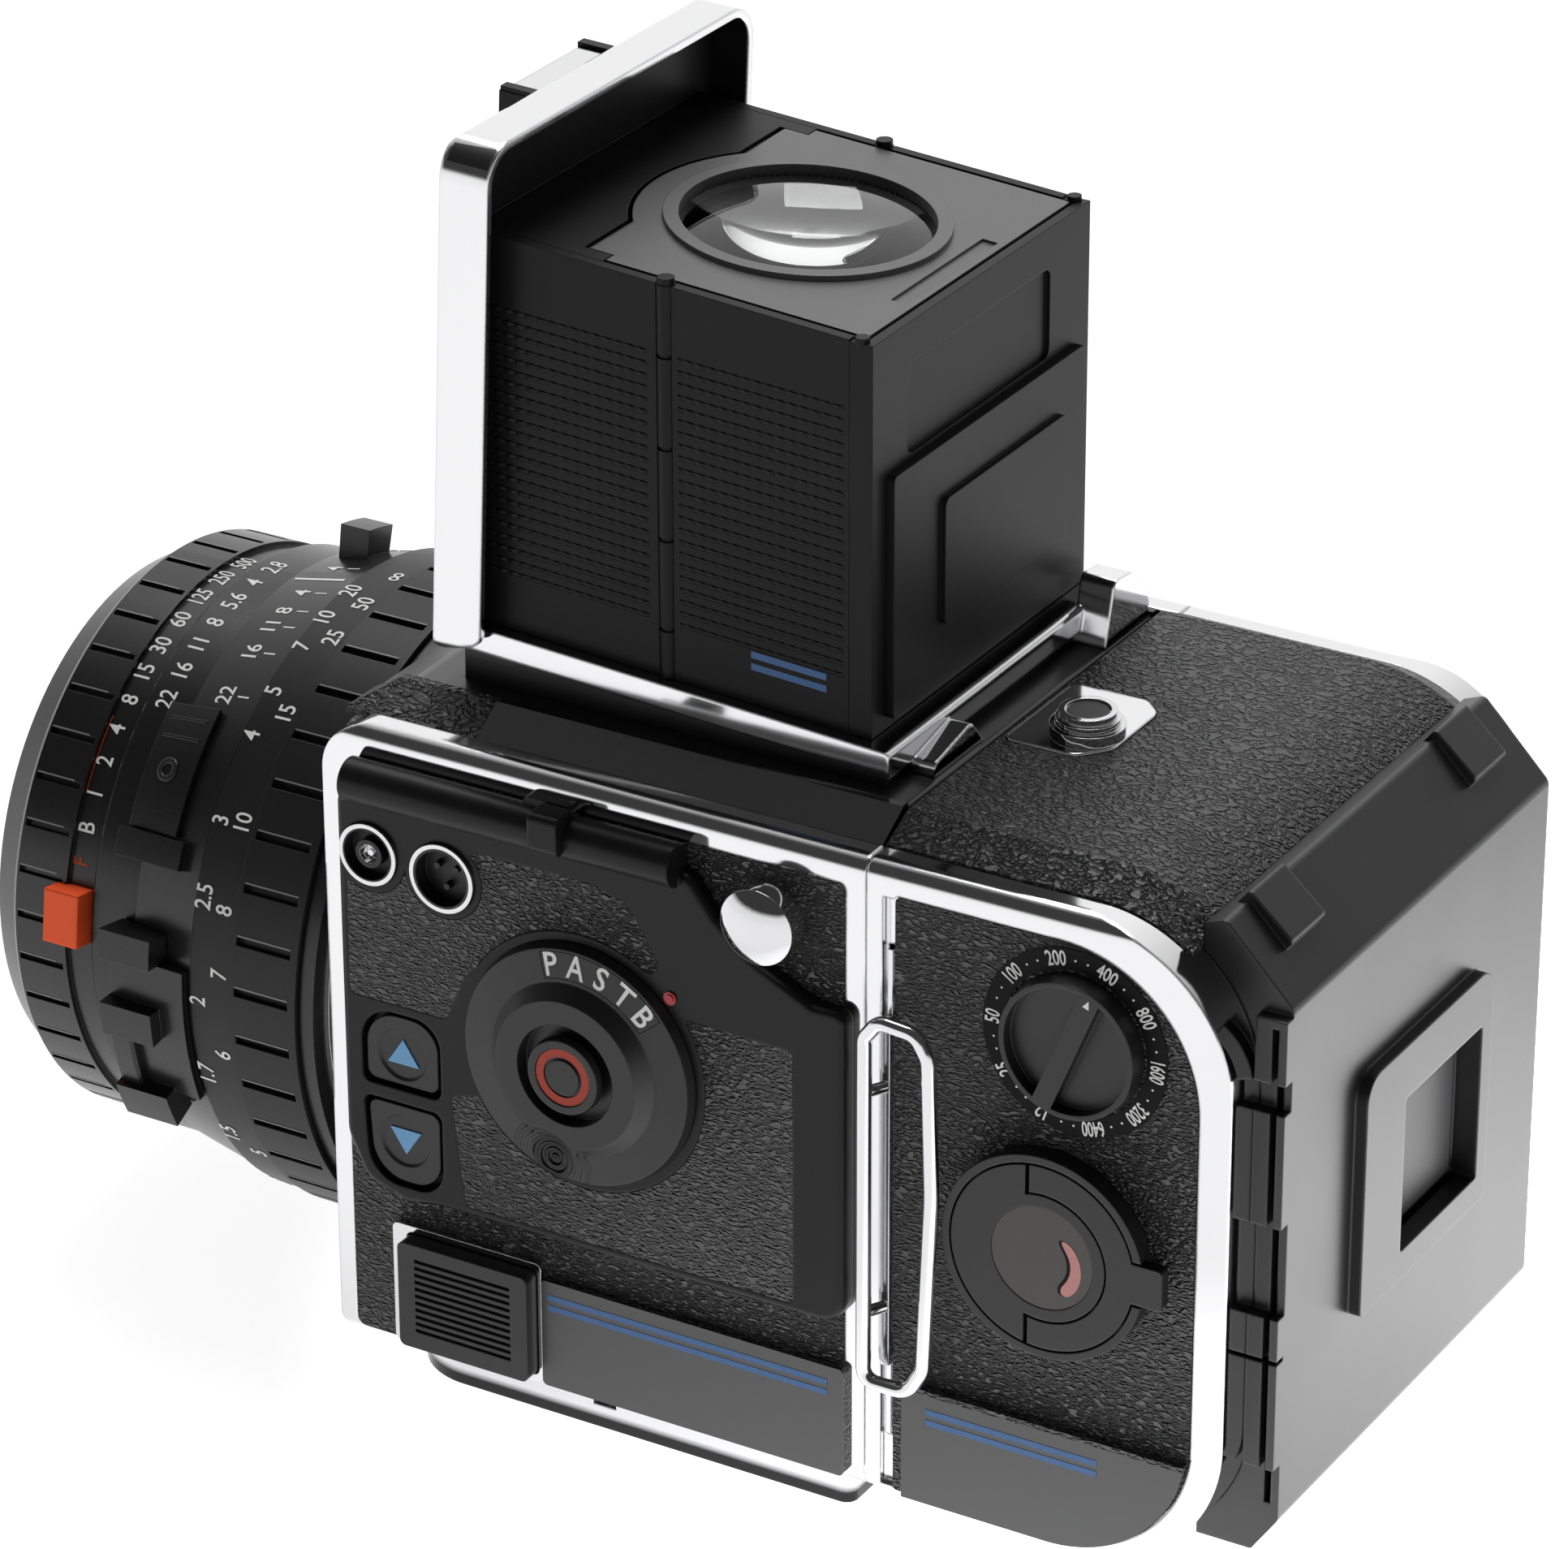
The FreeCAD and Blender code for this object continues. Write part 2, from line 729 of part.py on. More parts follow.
def hood_rear_lower():
    sheet = prism(rounded(-view_half + 0.6, view_half - 1.1, base_top(hood_rear) + 1.4, base_z + 28.2, 0.6),
                  "Y", hood_rear + lift, hood_rear + 1.0)
    raised = prism(rounded(-view_half + 5.6, view_half - 11.1, base_z + 7.0, base_z + 22.0, 1.0), "Y",
                   hood_rear + 0.9, hood_rear + 1.6)
    return fuse([sheet, raised])


def lean_lid(shape):
    shape.rotate(V(0, lid_y, lid_z), V(1, 0, 0), -lid_lean)
    return shape


def hood_lid():
    front_view = [(-lid_half, lid_z, 1.5), (lid_half, lid_z, 1.5), (lid_half, lid_z + lid_height, 4.5),
                  (-lid_half, lid_z + lid_height, 4.5)]
    inner = lid_half - lid_sheet
    hollow = [(-inner, lid_z - 5), (inner, lid_z - 5), (inner, lid_z + lid_height - lid_sheet, 3.5),
              (-inner, lid_z + lid_height - lid_sheet, 3.5)]
    side_view = [(lid_y, lid_z), (lid_y + lid_depth, lid_z + 2.0, 1.5),
                 (lid_y + lid_depth, lid_z + lid_height),
                 (lid_y, lid_z + lid_height, 1.2)]
    shell = prism(front_view, "Y", lid_y, lid_y + lid_depth).common(
        prism(side_view, "X", -lid_half, lid_half))
    return lean_lid(shell.cut(prism(hollow, "Y", lid_y + lid_sheet, lid_y + lid_depth + 1)))


def lid_lining():
    inner = lid_half - lid_sheet - 0.2
    low = lid_z + 4.5
    points = [(-inner, low), (inner, low), (inner, lid_z + lid_height - lid_sheet - 0.2, 3.3),
              (-inner, lid_z + lid_height - lid_sheet - 0.2, 3.3)]
    return lean_lid(prism(points, "Y", lid_y + lid_sheet, lid_y + lid_sheet + lining))


def catch_bracket():
    high = lid_z + lid_height - 1.5
    base_leaf = box(-8.6, 8.6, lid_y - 0.8, lid_y, high - 7.5, high)
    shelf = prism([(lid_y, high), (lid_y - 4.6, high, 0.8), (lid_y - 4.6, high - 1.2), (lid_y, high - 1.2)],
                  "X", -8.6, 8.6)
    ears = [box(x - 0.6, x + 0.6, lid_y - 4.6, lid_y, high - 4.5, high) for x in (-8.0, 8.0)]
    tongue = box(-5.5, 5.5, lid_y - 3.6, lid_y, high - 5.0, high - 3.8)
    return lean_lid(fuse([base_leaf, shelf] + ears + [tongue]))


# Magnifier, drawn level with its flip axis and then sloped like the hood's top
def slope_crown(shape):
    pivot = V(0, flip_y, flip_z)
    shape.rotate(pivot, V(1, 0, 0), -math.degrees(math.atan(crown_slope)))
    return shape


def magnifier_shelf():
    low, high = flip_z - leaf / 2, flip_z + leaf / 2
    shelf = box(-shelf_half, shelf_half, flip_y + shelf_front, flip_y - leaf / 2 - gap, low, high)
    arms = []
    for sign in (-1, 1):
        x0, x1 = sorted((sign * arm_inner, sign * shelf_half))
        arms.append(box(x0, x1, flip_y - leaf / 2 - gap, flip_y + arm_back, low, high))
    holes = [rod("Z", 0, flip_y + lens_back, arc_radius + 0.5, low - 1, high + 1),
             rod("X", flip_y, flip_z, flip_pin + slip, -shelf_half - 1, shelf_half + 1)]
    return slope_crown(cut(fuse([shelf] + arms), holes))


def magnifier_plate():
    low, high = flip_z - leaf / 2, flip_z + leaf / 2
    end = hood_rear - hood_wall - 0.35
    narrow = arm_inner - gap
    wide = hood_half - hood_wall / 2 - knuckle_radius - 0.1
    plate = box(-narrow, narrow, flip_y, flip_y + arm_back + gap + 0.3, low, high)
    edge = rod("X", flip_y, flip_z, leaf / 2, -narrow, narrow)
    field = box(-wide, wide, flip_y + arm_back + gap, end, low, high)
    bulge = rod("Z", 0, flip_y + lens_back, arc_radius, low, high).common(
        box(-narrow, narrow, flip_y - 20, end, low, high))
    pins = rod("X", flip_y, flip_z, flip_pin, -shelf_half + 0.2, shelf_half - 0.2)
    ring = rod("Z", 0, flip_y + lens_back, cell_outer, low - 1.2, high + 0.6)
    pocket = box(-7.5, 12.4, end - 2.8, end - 0.9, high - 0.3, high + 1)
    plate = cut(fuse([plate, edge, field, bulge, pins, ring]),
                [rod("Z", 0, flip_y + lens_back, glass_radius, low - 3, high + 3), pocket])
    return slope_crown(plate)


def magnifier_lens():
    mid = flip_z - 0.7
    edge = 0.9
    bulge = 1.6
    y = flip_y + lens_back
    body = rod("Z", 0, y, glass_radius, mid - edge - bulge, mid + edge + bulge)
    sphere = (glass_radius ** 2 + bulge ** 2) / (2 * bulge)
    upper = Part.makeSphere(sphere, V(0, y, mid + edge + bulge - sphere))
    lower = Part.makeSphere(sphere, V(0, y, mid - edge - bulge + sphere))
    return slope_crown(body.common(upper).common(lower))


# Dial side controls
def control_housing():
    y0, y1, low, high = well_front - 2.5, panel_back + 1.0, well_low - 1.4, ridge_z - 1.0
    points = [(y0, high, 2.5), (y0, low + 6.4, 4), (y0 + 2.5, low + 1.0, 3.5), (y0 + 7.8, low - 0.6, 4),
              (y0 + 13.0, low, 3), (y1, low, 3.4), (y1, stud_z - 8.9, 1.5), (stud_y + 5.6, stud_z - 8.9, 2),
              (stud_y - 1.5, stud_z - 5.5, 4), (stud_y - 6.5, stud_z - 1.4, 2), (stud_y - 9.7, high, 2)]
    plate = prism(points, "X", side, housing_top)
    plate = plate.makeFillet(housing_round,
                             [edge for edge in plate.Edges if edge.BoundBox.XMin > housing_top - 0.01])
    ridge = rod("Y", ridge_x, ridge_z, ridge_radius, y0 + 2.0, stud_y - 10.8)
    ridge = ridge.common(box(side, side + 9, y0, stud_y - 9, ridge_z - 6, ridge_z + 6))
    bump = prism(rounded(switch_y - 4.6, switch_y + 1.7, ridge_z, ridge_z + 3.6, 0.9), "X", side, side + 2.0)
    keep = stud_radius + 1.6
    holes = [
        rod("X", dial_y, dial_z, dial_spigot + slip, side - 1, housing_top + 1),
        rod("X", sync_y, sync_z, sync_radius + 0.05, side - 1, housing_top + 1),
        rod("X", winder_y, winder_z, winder_radius + 0.05, side - 1, housing_top + 1),
        rod("X", stud_y, stud_z, keep, side - 1, housing_top + 5),
        prism(button_well(True, 0.0), "X", side + 0.1, housing_top + 1),
        prism(button_well(False, 0.0), "X", side + 0.1, housing_top + 1),
    ]
    plate = cut(fuse([plate, ridge, bump]), holes)
    for points in inlay_outlines(-0.05):
        plate = plate.cut(inlay_block(points, -0.05, housing_top + 1))
    return plate


def button_well(upper, inset):
    y0, y1 = well_front + inset, well_back - inset
    if upper:
        low, high = well_split + 0.8 + inset, well_high - inset
        return [(y0, low, 1.2), (y1, low, 1.2), (y1, high, 3.4), (y0, high, 4.4)]
    low, high = well_low + inset, well_split - 0.8 - inset
    return [(y0 + 0.6, low, 4.4), (y1, low, 3.4), (y1, high, 1.2), (y0, high, 1.2)]


def inlay_outlines(inset):
    y, z = dial_y, dial_z
    upper = [(y - 30.2, z + 14.6, 0.8), (y - 30.3, z + 0.6, 0.8), (y - 17.6, z + 0.6, 0.8),
             (y - 15.0, z + 6.6, 1),
             (y - 9.0, z + 12.6, 2), (y, z + 15.2, 2), (y + 9.0, z + 13.2, 0.8), (y + 10.0, z + 14.3, 0.8),
             (y + 6.2, z + 21.0, 1), (y + 2.0, z + 22.2, 1), (y - 12.8, z + 22.2, 0.8)]
    lower = [(y - 17.2, z - 9.0, 0.8), (y - 15.6, z - 22.5, 0.8), (y + 26.6, z - 22.5, 0.8),
             (y + 26.6, z + 8.5, 0.8),
             (y + 12.7, z + 8.8, 0.8), (y + 15.6, z, 1)]
    return [upper, lower]


def inlay_block(points, inset, high):
    block = prism(points, "X", housing_top - inlay_depth, high)
    away = [rod("X", dial_y, dial_z, dial_radius + 1.1 + inset, side, high + 1),
            rod("X", sync_y, sync_z, sync_radius + 1.0 + inset, side, high + 1),
            rod("X", winder_y, winder_z, winder_radius + 0.9 + inset, side, high + 1)]
    return cut(block, away)


def housing_inlays():
    return Part.makeCompound([inlay_block(points, 0.05, housing_top) for points in inlay_outlines(0.05)])


def mode_dial():
    high = housing_top + dial_height
    ring_top = housing_top + dial_ring_height
    collar_floor = high + button_proud - button_cap_height - button_travel - 0.2
    base = taper("X", dial_y, dial_z, dial_radius, dial_radius - 0.4, housing_top + 0.1, ring_top - 0.5)
    ring = taper("X", dial_y, dial_z, dial_radius - 0.4, dial_ring, ring_top - 0.5, ring_top)
    cone = taper("X", dial_y, dial_z, dial_ring - 0.2, dial_plateau, ring_top - 0.1, high)
    spigot = rod("X", dial_y, dial_z, dial_spigot, side + 0.3, housing_top + 0.2)
    angle = math.radians(scoop_angle)
    scoop_y = dial_y + dial_radius * 0.86 * math.cos(angle)
    scoop_z = dial_z + dial_radius * 0.86 * math.sin(angle)
    holes = [rod("X", dial_y, dial_z, button_radius + slip, side, high + 1),
             rod("X", dial_y, dial_z, dial_collar, collar_floor, high + 1),
             Part.makeSphere(scoop_radius, V(high + 2.9, scoop_y, scoop_z))]
    return cut(fuse([base, ring, cone, spigot]), holes)


def dial_button():
    high = housing_top + dial_height + button_proud
    stem = rod("X", dial_y, dial_z, button_radius, side + button_travel + 0.1, high)
    cap = taper("X", dial_y, dial_z, button_cap, button_cap - 0.2, high - button_cap_height, high)
    groove = tube("X", dial_y, dial_z, button_cap - 1.1, button_cap - 2.5, high - 0.3, high + 1)
    return fuse([stem, cap]).cut(groove)


def well_button(upper):
    body = prism(button_well(upper, well_gap), "X", side + key_travel + 0.2, housing_top - 0.3)
    middle = (well_front + well_back) / 2
    z = (well_split + well_high) / 2 if upper else (well_split + well_low) / 2
    dish = taper("X", middle, z, 3.0, 4.0, housing_top - 0.6, housing_top + 0.4)
    return body.cut(dish)


def ridge_switch():
    block = prism(rounded(ridge_x - 0.6, ridge_x + ridge_radius + 1.2, ridge_z - 1.0,
                          ridge_z + ridge_radius + 1.0, 0.9),
                  "Y", switch_y - 1.8, switch_y + 1.8)
    return block.cut(rod("Y", ridge_x, ridge_z, ridge_radius + slip, -30, 30)).cut(
        box(ridge_x - 5, side + 2.1 + gap, -30, 30, ridge_z - 6, ridge_z + 6))


def sync_socket():
    rim = tube("X", sync_y, sync_z, sync_radius, sync_radius - 0.7, side, housing_top + 0.5)
    seat = rod("X", sync_y, sync_z, sync_radius, side, side + 0.7)
    post = tube("X", sync_y, sync_z, 1.7, 1.15, side, housing_top + 0.2)
    pin = rod("X", sync_y, sync_z, 0.4, side, housing_top - 0.2)
    return fuse([rim, seat, post, pin])


def winder_socket():
    rim = tube("X", winder_y, winder_z, winder_radius, winder_radius - 0.8, side, housing_top + 0.5)
    seat = rod("X", winder_y, winder_z, winder_radius, side, side + 0.4)
    pins = [rod("X", winder_y + dy, winder_z + dz, 0.4, side, side + 1.4)
            for dy, dz in ((-1.2, 0.9), (1.2, 0.9), (0.0, -1.4))]
    return fuse([rim, seat] + pins)


def strap_studs():
    studs = []
    for sign in (-1, 1):
        low = side - 2.2
        neck = rod("X", stud_y, stud_z, stud_neck, low, side + stud_seat + 0.5)
        dome = rod("X", stud_y, stud_z, stud_radius, side + stud_seat, side + stud_height).common(
            Part.makeSphere(stud_dome, V(side + stud_height - stud_dome, stud_y, stud_z)))
        stud = fuse([neck, dome])
        if sign < 0:
            stud = stud.mirror(V(0, 0, 0), V(1, 0, 0))
        studs.append(stud)
    return Part.makeCompound(studs)


def battery_frame():
    outer = prism(rounded(drawer_front - 2.0, drawer_back + 0.6, panel_low + 0.2, drawer_high + 0.9, 0.8),
                  "X", side, side + 0.8)
    return outer.cut(prism(drawer_outline(-gap), "X", side - 1, side + 2))


def battery_drawer():
    cap = prism(drawer_outline(), "X", side - panel_thickness, side + drawer_proud)
    ribs = [box(side + drawer_proud - 0.4, side + drawer_proud + 1, drawer_front + 2.2, drawer_back - 2.2,
                z, z + 0.45)
            for z in [drawer_low + 2.2 + 0.9 * i for i in range(11)]]
    low, high = drawer_front + 0.8, drawer_back - 0.8
    end = side - drawer_length
    tray = prism(rounded(low, high, drawer_low + 0.2, drawer_high - 0.6, 0.5), "X", end,
                 side - panel_thickness + 0.1)
    bay = box(end + 1.2, side - panel_thickness - 1.0, cell_y - cell_radius - 0.2, cell_y + cell_radius + 0.2,
              cell_z - cell_radius - 0.1, drawer_high + 1)
    return fuse([cut(cap, ribs), tray]).cut(bay)


def battery_cell():
    end = side - drawer_length
    body = rod("X", cell_y, cell_z, cell_radius, end + 1.4, side - panel_thickness - 2.2)
    tip = rod("X", cell_y, cell_z, 2.0, side - panel_thickness - 2.4, side - panel_thickness - 1.1)
    return fuse([body, tip])


def lower_trim_plate():
    plate = prism(rounded(drawer_back + 0.75, panel_back + 0.3, panel_low + 0.3, trim_high, 0.6), "X", side,
                  side + trim_rise)
    return plate


# Winding side
def gear(y, z, low, high, phase):
    pitch = gear_module * gear_teeth / 2
    tip = pitch + gear_module * 0.95
    root = pitch - gear_module * 1.2
    step = 360.0 / gear_teeth
    points = []
    for i in range(gear_teeth):
        middle = phase + step * i
        for radius, off in ((root, -0.36), (tip, -0.13), (tip, 0.13), (root, 0.36)):
            angle = math.radians(middle + off * step)
            points.append((y + radius * math.cos(angle), z + radius * math.sin(angle)))
    return prism(points, "X", low, high)


def winding_gear():
    x0 = -inner_side + 0.4
    wheel = gear(crank_y, crank_z, x0, x0 + gear_width, 0.0)
    shaft = rod("X", crank_y, crank_z, shaft_radius, -side - crank_thickness, x0 + gear_width)
    return fuse([wheel, shaft])


def drive_gear():
    x0 = -inner_side + 0.4
    wheel = gear(crank_y + gear_distance, crank_z, x0, x0 + gear_width, 180.0 / gear_teeth)
    return wheel.cut(rod("X", crank_y + gear_distance, crank_z, gear_axle + slip, x0 - 1,
                         x0 + gear_width + 1))


def crank_hub():
    face = -side - 0.3
    disc = taper("X", crank_y, crank_z, crank_radius - 0.8, crank_radius, face - crank_thickness, face)
    dish = rod("X", crank_y, crank_z, crank_radius - 2.0, face - crank_thickness - 1,
               face - crank_thickness + 1.2)
    arm = prism([(crank_y - 4.5, crank_z - 5, 4.4), (crank_y + 4.5, crank_z - 5, 4.4),
                 (crank_y + 3.6, crank_z + arm_reach, 3.5), (crank_y - 3.6, crank_z + arm_reach, 3.5)], "X",
                face - crank_thickness - 0.9, face - crank_thickness + 1.3)
    ears = [box(arm_x - 1.9, arm_x + 0.2, crank_y + dy - 0.5, crank_y + dy + 0.5, grip_z - 1.6, grip_z + 1.6)
            for dy in (-3.0, 3.0)]
    body = fuse([disc.cut(dish), arm] + ears)
    return cut(body, [rod("X", crank_y, crank_z, shaft_radius + 0.02, -side - crank_thickness - 0.05, 0),
                      rod("Y", arm_x - grip_pin_out, grip_z, grip_pin + slip, crank_y - 5, crank_y + 5)])


def crank_grip():
    x = arm_x - grip_pin_out
    pin = rod("Y", x, grip_z, grip_pin, crank_y - 3.4, crank_y + 3.4)
    eye = rod("Y", x, grip_z, 0.95, crank_y - 2.3, crank_y + 2.3)
    stem = box(x - 0.9, x + 0.9, crank_y - 2.3, crank_y + 2.3, grip_z - grip_length, grip_z)
    knob = prism(rounded(x - 3.2, x + 0.9, grip_z - grip_length, grip_z - 3.0, 0.9), "Y", crank_y - 3.4,
                 crank_y + 3.4)
    return fuse([pin, eye, stem, knob])


# Buttons on the front
def front_button(x, z, cap, proud):
    stem = rod("Y", x, z, release_stem, front - proud + 0.5, front + wall + release_travel + 0.4)
    head = rod("Y", x, z, cap, front - proud, front - release_travel - 0.1)
    keeper = rod("Y", x, z, release_stem + 0.8, front + wall + 0.1, front + wall + 1.0)
    return fuse([stem, head, keeper])


def cable_socket():
    return tube("Y", cable_x, cable_z, cable_boss, cable_bore, front - cable_proud, front + wall)


# Lens
def lens_mount():
    face = front - ring_rise - 0.05
    rear = chamber_front - 0.8
    flange = turned([(flange_y, flange_bore), (flange_y, flange_radius), (face, flange_radius),
                     (face, mount_radius), (rear, mount_radius), (rear, flange_bore)])
    band = turned([(front + 0.1, mount_radius - 0.5), (front + 0.1, lug_radius), (front + 2.0, lug_radius),
                   (front + 2.0, mount_radius - 0.5)])
    lugs = []
    for i in range(lug_count):
        middle = 360.0 * i / lug_count
        lugs.append(band.common(wedge(front - 5, front + 5, middle - lug_angle / 2, middle + lug_angle / 2,
                                      40.0)))
    return fuse([flange] + lugs)


def lens_barrel():
    rear = front - ring_rise - 0.4
    return turned([(barrel_front, sleeve_radius + slip), (barrel_front, barrel_radius),
                   (focus_back + gap, barrel_radius), (focus_back + gap, collar_radius),
                   (rear, collar_radius),
                   (rear, flange_radius), (flange_y, flange_radius), (flange_y, sleeve_radius + slip)])


def focus_ring():
    ring = turned([(focus_front, sleeve_radius + 0.35), (focus_front, focus_radius - 0.6),
                   (grip_front, focus_radius - 0.3), (grip_front, focus_radius), (focus_back, focus_radius),
                   (focus_back, barrel_radius + slip), (barrel_front - 0.2, barrel_radius + slip),
                   (barrel_front - 0.2, sleeve_radius + 0.35)])
    return cut(ring, slots(grip_slots, focus_radius, 0.8, 1.0, grip_front + 0.6, focus_back - 1.0))


def front_barrel():
    body = turned([(bezel_front, bezel_bore), (bezel_front, bezel_radius), (speed_front - 0.2, 33.9),
                   (speed_front - 0.2, tube_radius), (scale_front, tube_radius), (scale_front, cone_front),
                   (focus_front - 0.3, cone_back), (focus_front - 0.3, sleeve_radius),
                   (flange_y - 0.7, sleeve_radius), (flange_y - 0.7, sleeve_bore),
                   (scale_front + 4.4, sleeve_bore),
                   (scale_front + 4.4, optics_bore), (bezel_front + bezel_depth, optics_bore),
                   (bezel_front + bezel_depth, bezel_bore)])
    lift_front = scale_front - 2.6
    rib = turned([(lift_front, aperture_radius + 0.15), (scale_front, cone_front - 0.1),
                  (scale_front + 6.4, cone_back - 0.9), (scale_front + 6.4, cone_back + 0.5),
                  (lift_front, cone_back + 0.1)]).common(wedge(lift_front - 1, scale_front + 7, 22.0, 27.0))
    tab = turned([(scale_front + 1.4, cone_front), (scale_front + 5.4, cone_front + 0.4),
                  (scale_front + 5.4, cone_back + 2.5), (scale_front + 1.4, cone_back + 2.5)])
    tab = tab.common(wedge(scale_front, scale_front + 6, 99.0, 106.0))
    return fuse([body, rib, tab])


def aperture_ring():
    return turned([(aperture_front, tube_radius + slip), (aperture_front, aperture_radius - 0.3),
                   (aperture_front + 0.4, aperture_radius), (scale_front - 0.2, aperture_radius),
                   (scale_front - 0.2, tube_radius + slip)])


def speed_ring():
    low = tube_radius + slip
    ring = turned([(speed_front, low), (speed_front, rib_radius - 0.5), (speed_front + 0.6, rib_radius),
                   (speed_step, rib_radius), (speed_step, speed_radius), (aperture_front - 0.2, speed_radius),
                   (aperture_front - 0.2, low)])
    ring = cut(ring, slots(rib_slots, rib_radius, 0.6, 0.8, speed_front + 0.9, speed_step - 0.5))
    hole = box(20, 40, tab_front - 0.1, tab_back + 0.1, lens_z - tab_half - 0.1, lens_z + tab_half + 0.1)
    return ring.cut(turn_lens(hole, tab_angle))


def interlock_tab():
    body = box(tube_radius + tab_travel + 0.3, tab_reach, tab_front, tab_back, lens_z - tab_half,
               lens_z + tab_half)
    return turn_lens(body, tab_angle)


def preview_lever():
    start, split, end = scale_front - 1.8, scale_front + 5.2, scale_front + 8.7
    band = turned([(start, aperture_radius + 0.25), (scale_front, cone_front + 0.1), (end, cone_back + 0.05),
                   (end, cone_back + 1.1), (start, cone_back + 0.5)])
    plate = band.common(wedge(start - 1, split, -27.0, 10.0))
    bar = band.common(wedge(split - 0.2, end + 1, -21.0, 5.0))
    pads = turned([(start, cone_back), (split, cone_back), (split, cone_back + 2.7),
                   (start, cone_back + 2.7)])
    ends = [pads.common(wedge(start - 1, split, low, high))
            for low, high in ((5.0, 10.0), (-9.0, -3.0), (-27.0, -20.0))]
    return fuse([plate, bar] + ends)


def optics_cell():
    fit = optics_bore - 0.05
    waist = glass_front_radius + 2.6
    return turned([(cell_front, glass_front_radius), (cell_front, fit), (cell_front + 1.6, fit),
                   (cell_front + 1.6, waist), (iris_y + 1.4, waist), (iris_y + 1.4, fit), (iris_y + 4.4, fit),
                   (iris_y + 4.4, waist - 0.5), (cell_back, glass_rear_radius + 2.7),
                   (cell_back, glass_rear_radius),
                   (cell_front + 4.5, glass_rear_radius), (cell_front + 4.5, glass_front_radius)])


# A lens element bulging by two amounts towards the front and the back.
def element(radius, y_front, y_back, bulge_front, bulge_back):
    body = rod("Y", 0, lens_z, radius, y_front - bulge_front, y_back + bulge_back)
    for y, bulge, sign in ((y_front, bulge_front, -1), (y_back, bulge_back, 1)):
        sphere = (radius ** 2 + bulge ** 2) / (2 * bulge)
        body = body.common(Part.makeSphere(sphere, V(0, y + sign * (bulge - sphere), lens_z)))
    return body


def front_glass():
    return element(glass_front_radius, cell_front + 0.6, cell_front + 3.8, 2.2, 0.4)


def rear_glass():
    return element(glass_rear_radius, cell_back - 5.0, cell_back - 1.4, 0.5, 1.3)


def iris_blades():
    disc = rod("Y", 0, lens_z, glass_rear_radius, iris_y, iris_y + 0.6)
    hole = []
    for i in range(5):
        angle = math.radians(90 + 72 * i)
        hole.append((13.5 * math.cos(angle), lens_z + 13.5 * math.sin(angle), 1.0))
    return disc.cut(prism(hole, "Y", iris_y - 1, iris_y + 2))


# Magazine
def magazine_profile(grow=0.0):
    return [(mag_front, foot_height - grow, 0.3), (mag_back + grow, foot_height - grow, mag_corner + grow),
            (mag_back + grow, bead_top + grow, mag_corner + grow), (mag_front, bead_top + grow, 0.3)]


def magazine_shell():
    shell = prism(magazine_profile(), "X", -side, side)
    shell = shell.common(prism(casting_section(bead_top + 0.001), "Y", mag_front - 1, mag_back + 1))
    inner = insert_back - 0.25
    cavity = [(mag_front + mag_wall, panel_low + 0.8, 1), (inner, panel_low + 0.8, insert_corner - 0.3),
              (inner, panel_high - 0.4, insert_corner - 0.3), (mag_front + mag_wall, panel_high - 0.4, 1)]
    holes = [
        prism(cavity, "X", -inner_side, side + 1),
        prism(insert_panel(-gap), "X", side - panel_thickness - 0.05, side + 1),
        box(-frame_half, frame_half, mag_front - 1, mag_front + mag_wall + 1, lens_z - frame_half,
            lens_z + frame_half),
        box(-slide_reach - 0.5, side + 1, slide_y - slide_thickness / 2 - 0.2,
            slide_y + slide_thickness / 2 + 0.2,
            slide_low - 0.4, slide_high + 0.4),
        box(side - 1.0, side + 1, slide_y - 0.8, insert_front, panel_low + 0.3, panel_high - 0.3),
    ]
    pegs = [rod("Y", sign * peg_x, peg_z, peg_radius, back - peg_length, mag_front + 2) for sign in (-1, 1)]
    return fuse([cut(shell, holes)] + pegs)


def magazine_cover():
    half = side - bead_width
    low = 0.2
    high = cover_rise - bead_rise

    def loop(x, grow):
        return outline(magazine_profile(grow), "X", x)

    flat = half - 4.6
    solid = Part.makeLoft([loop(-half, low), loop(-flat, high), loop(flat, high), loop(half, low)],
                          True, True)
    band = solid.cut(prism(magazine_profile(), "X", -side, side))
    slab = box(-half, half, mag_front, cover_back, top - 6, bead_top + 9)
    filler = prism(rounded(mag_front, cover_back - 8, top, bead_top + 0.5, 0.0), "X", -half, half)
    cover = fuse([band.common(slab), filler.common(prism(magazine_profile(), "X", -half, half))])
    seat = prism(plate_outline(-0.1), "Z", bead_top + high - 0.8, bead_top + high + 2)
    return cover.cut(seat)


def plate_outline(inset):
    x0, x1 = lock_x - 10.3 + inset, lock_x + 5.5 - inset
    y0, y1 = mag_front + 0.75 + inset, lock_y + 4.2 - inset
    return [(x1, y0, 1), (x1, y1 - 2.8, 2), (x1 - 3.6, y1, 2), (x0 + 2.2, y1, 2), (x0, y1 - 2.4, 1.5),
            (x0, y0, 1)]


def release_plate():
    z = bead_top + cover_rise - bead_rise
    plate = prism(plate_outline(0.0), "Z", z - 0.8, z + 0.3)
    return plate.cut(prism(rounded(lock_x - 4.2, lock_x + 1.7, lock_y - 1.7, lock_y + 1.7, 1.6), "Z",
                           z - 0.5, z + 1))


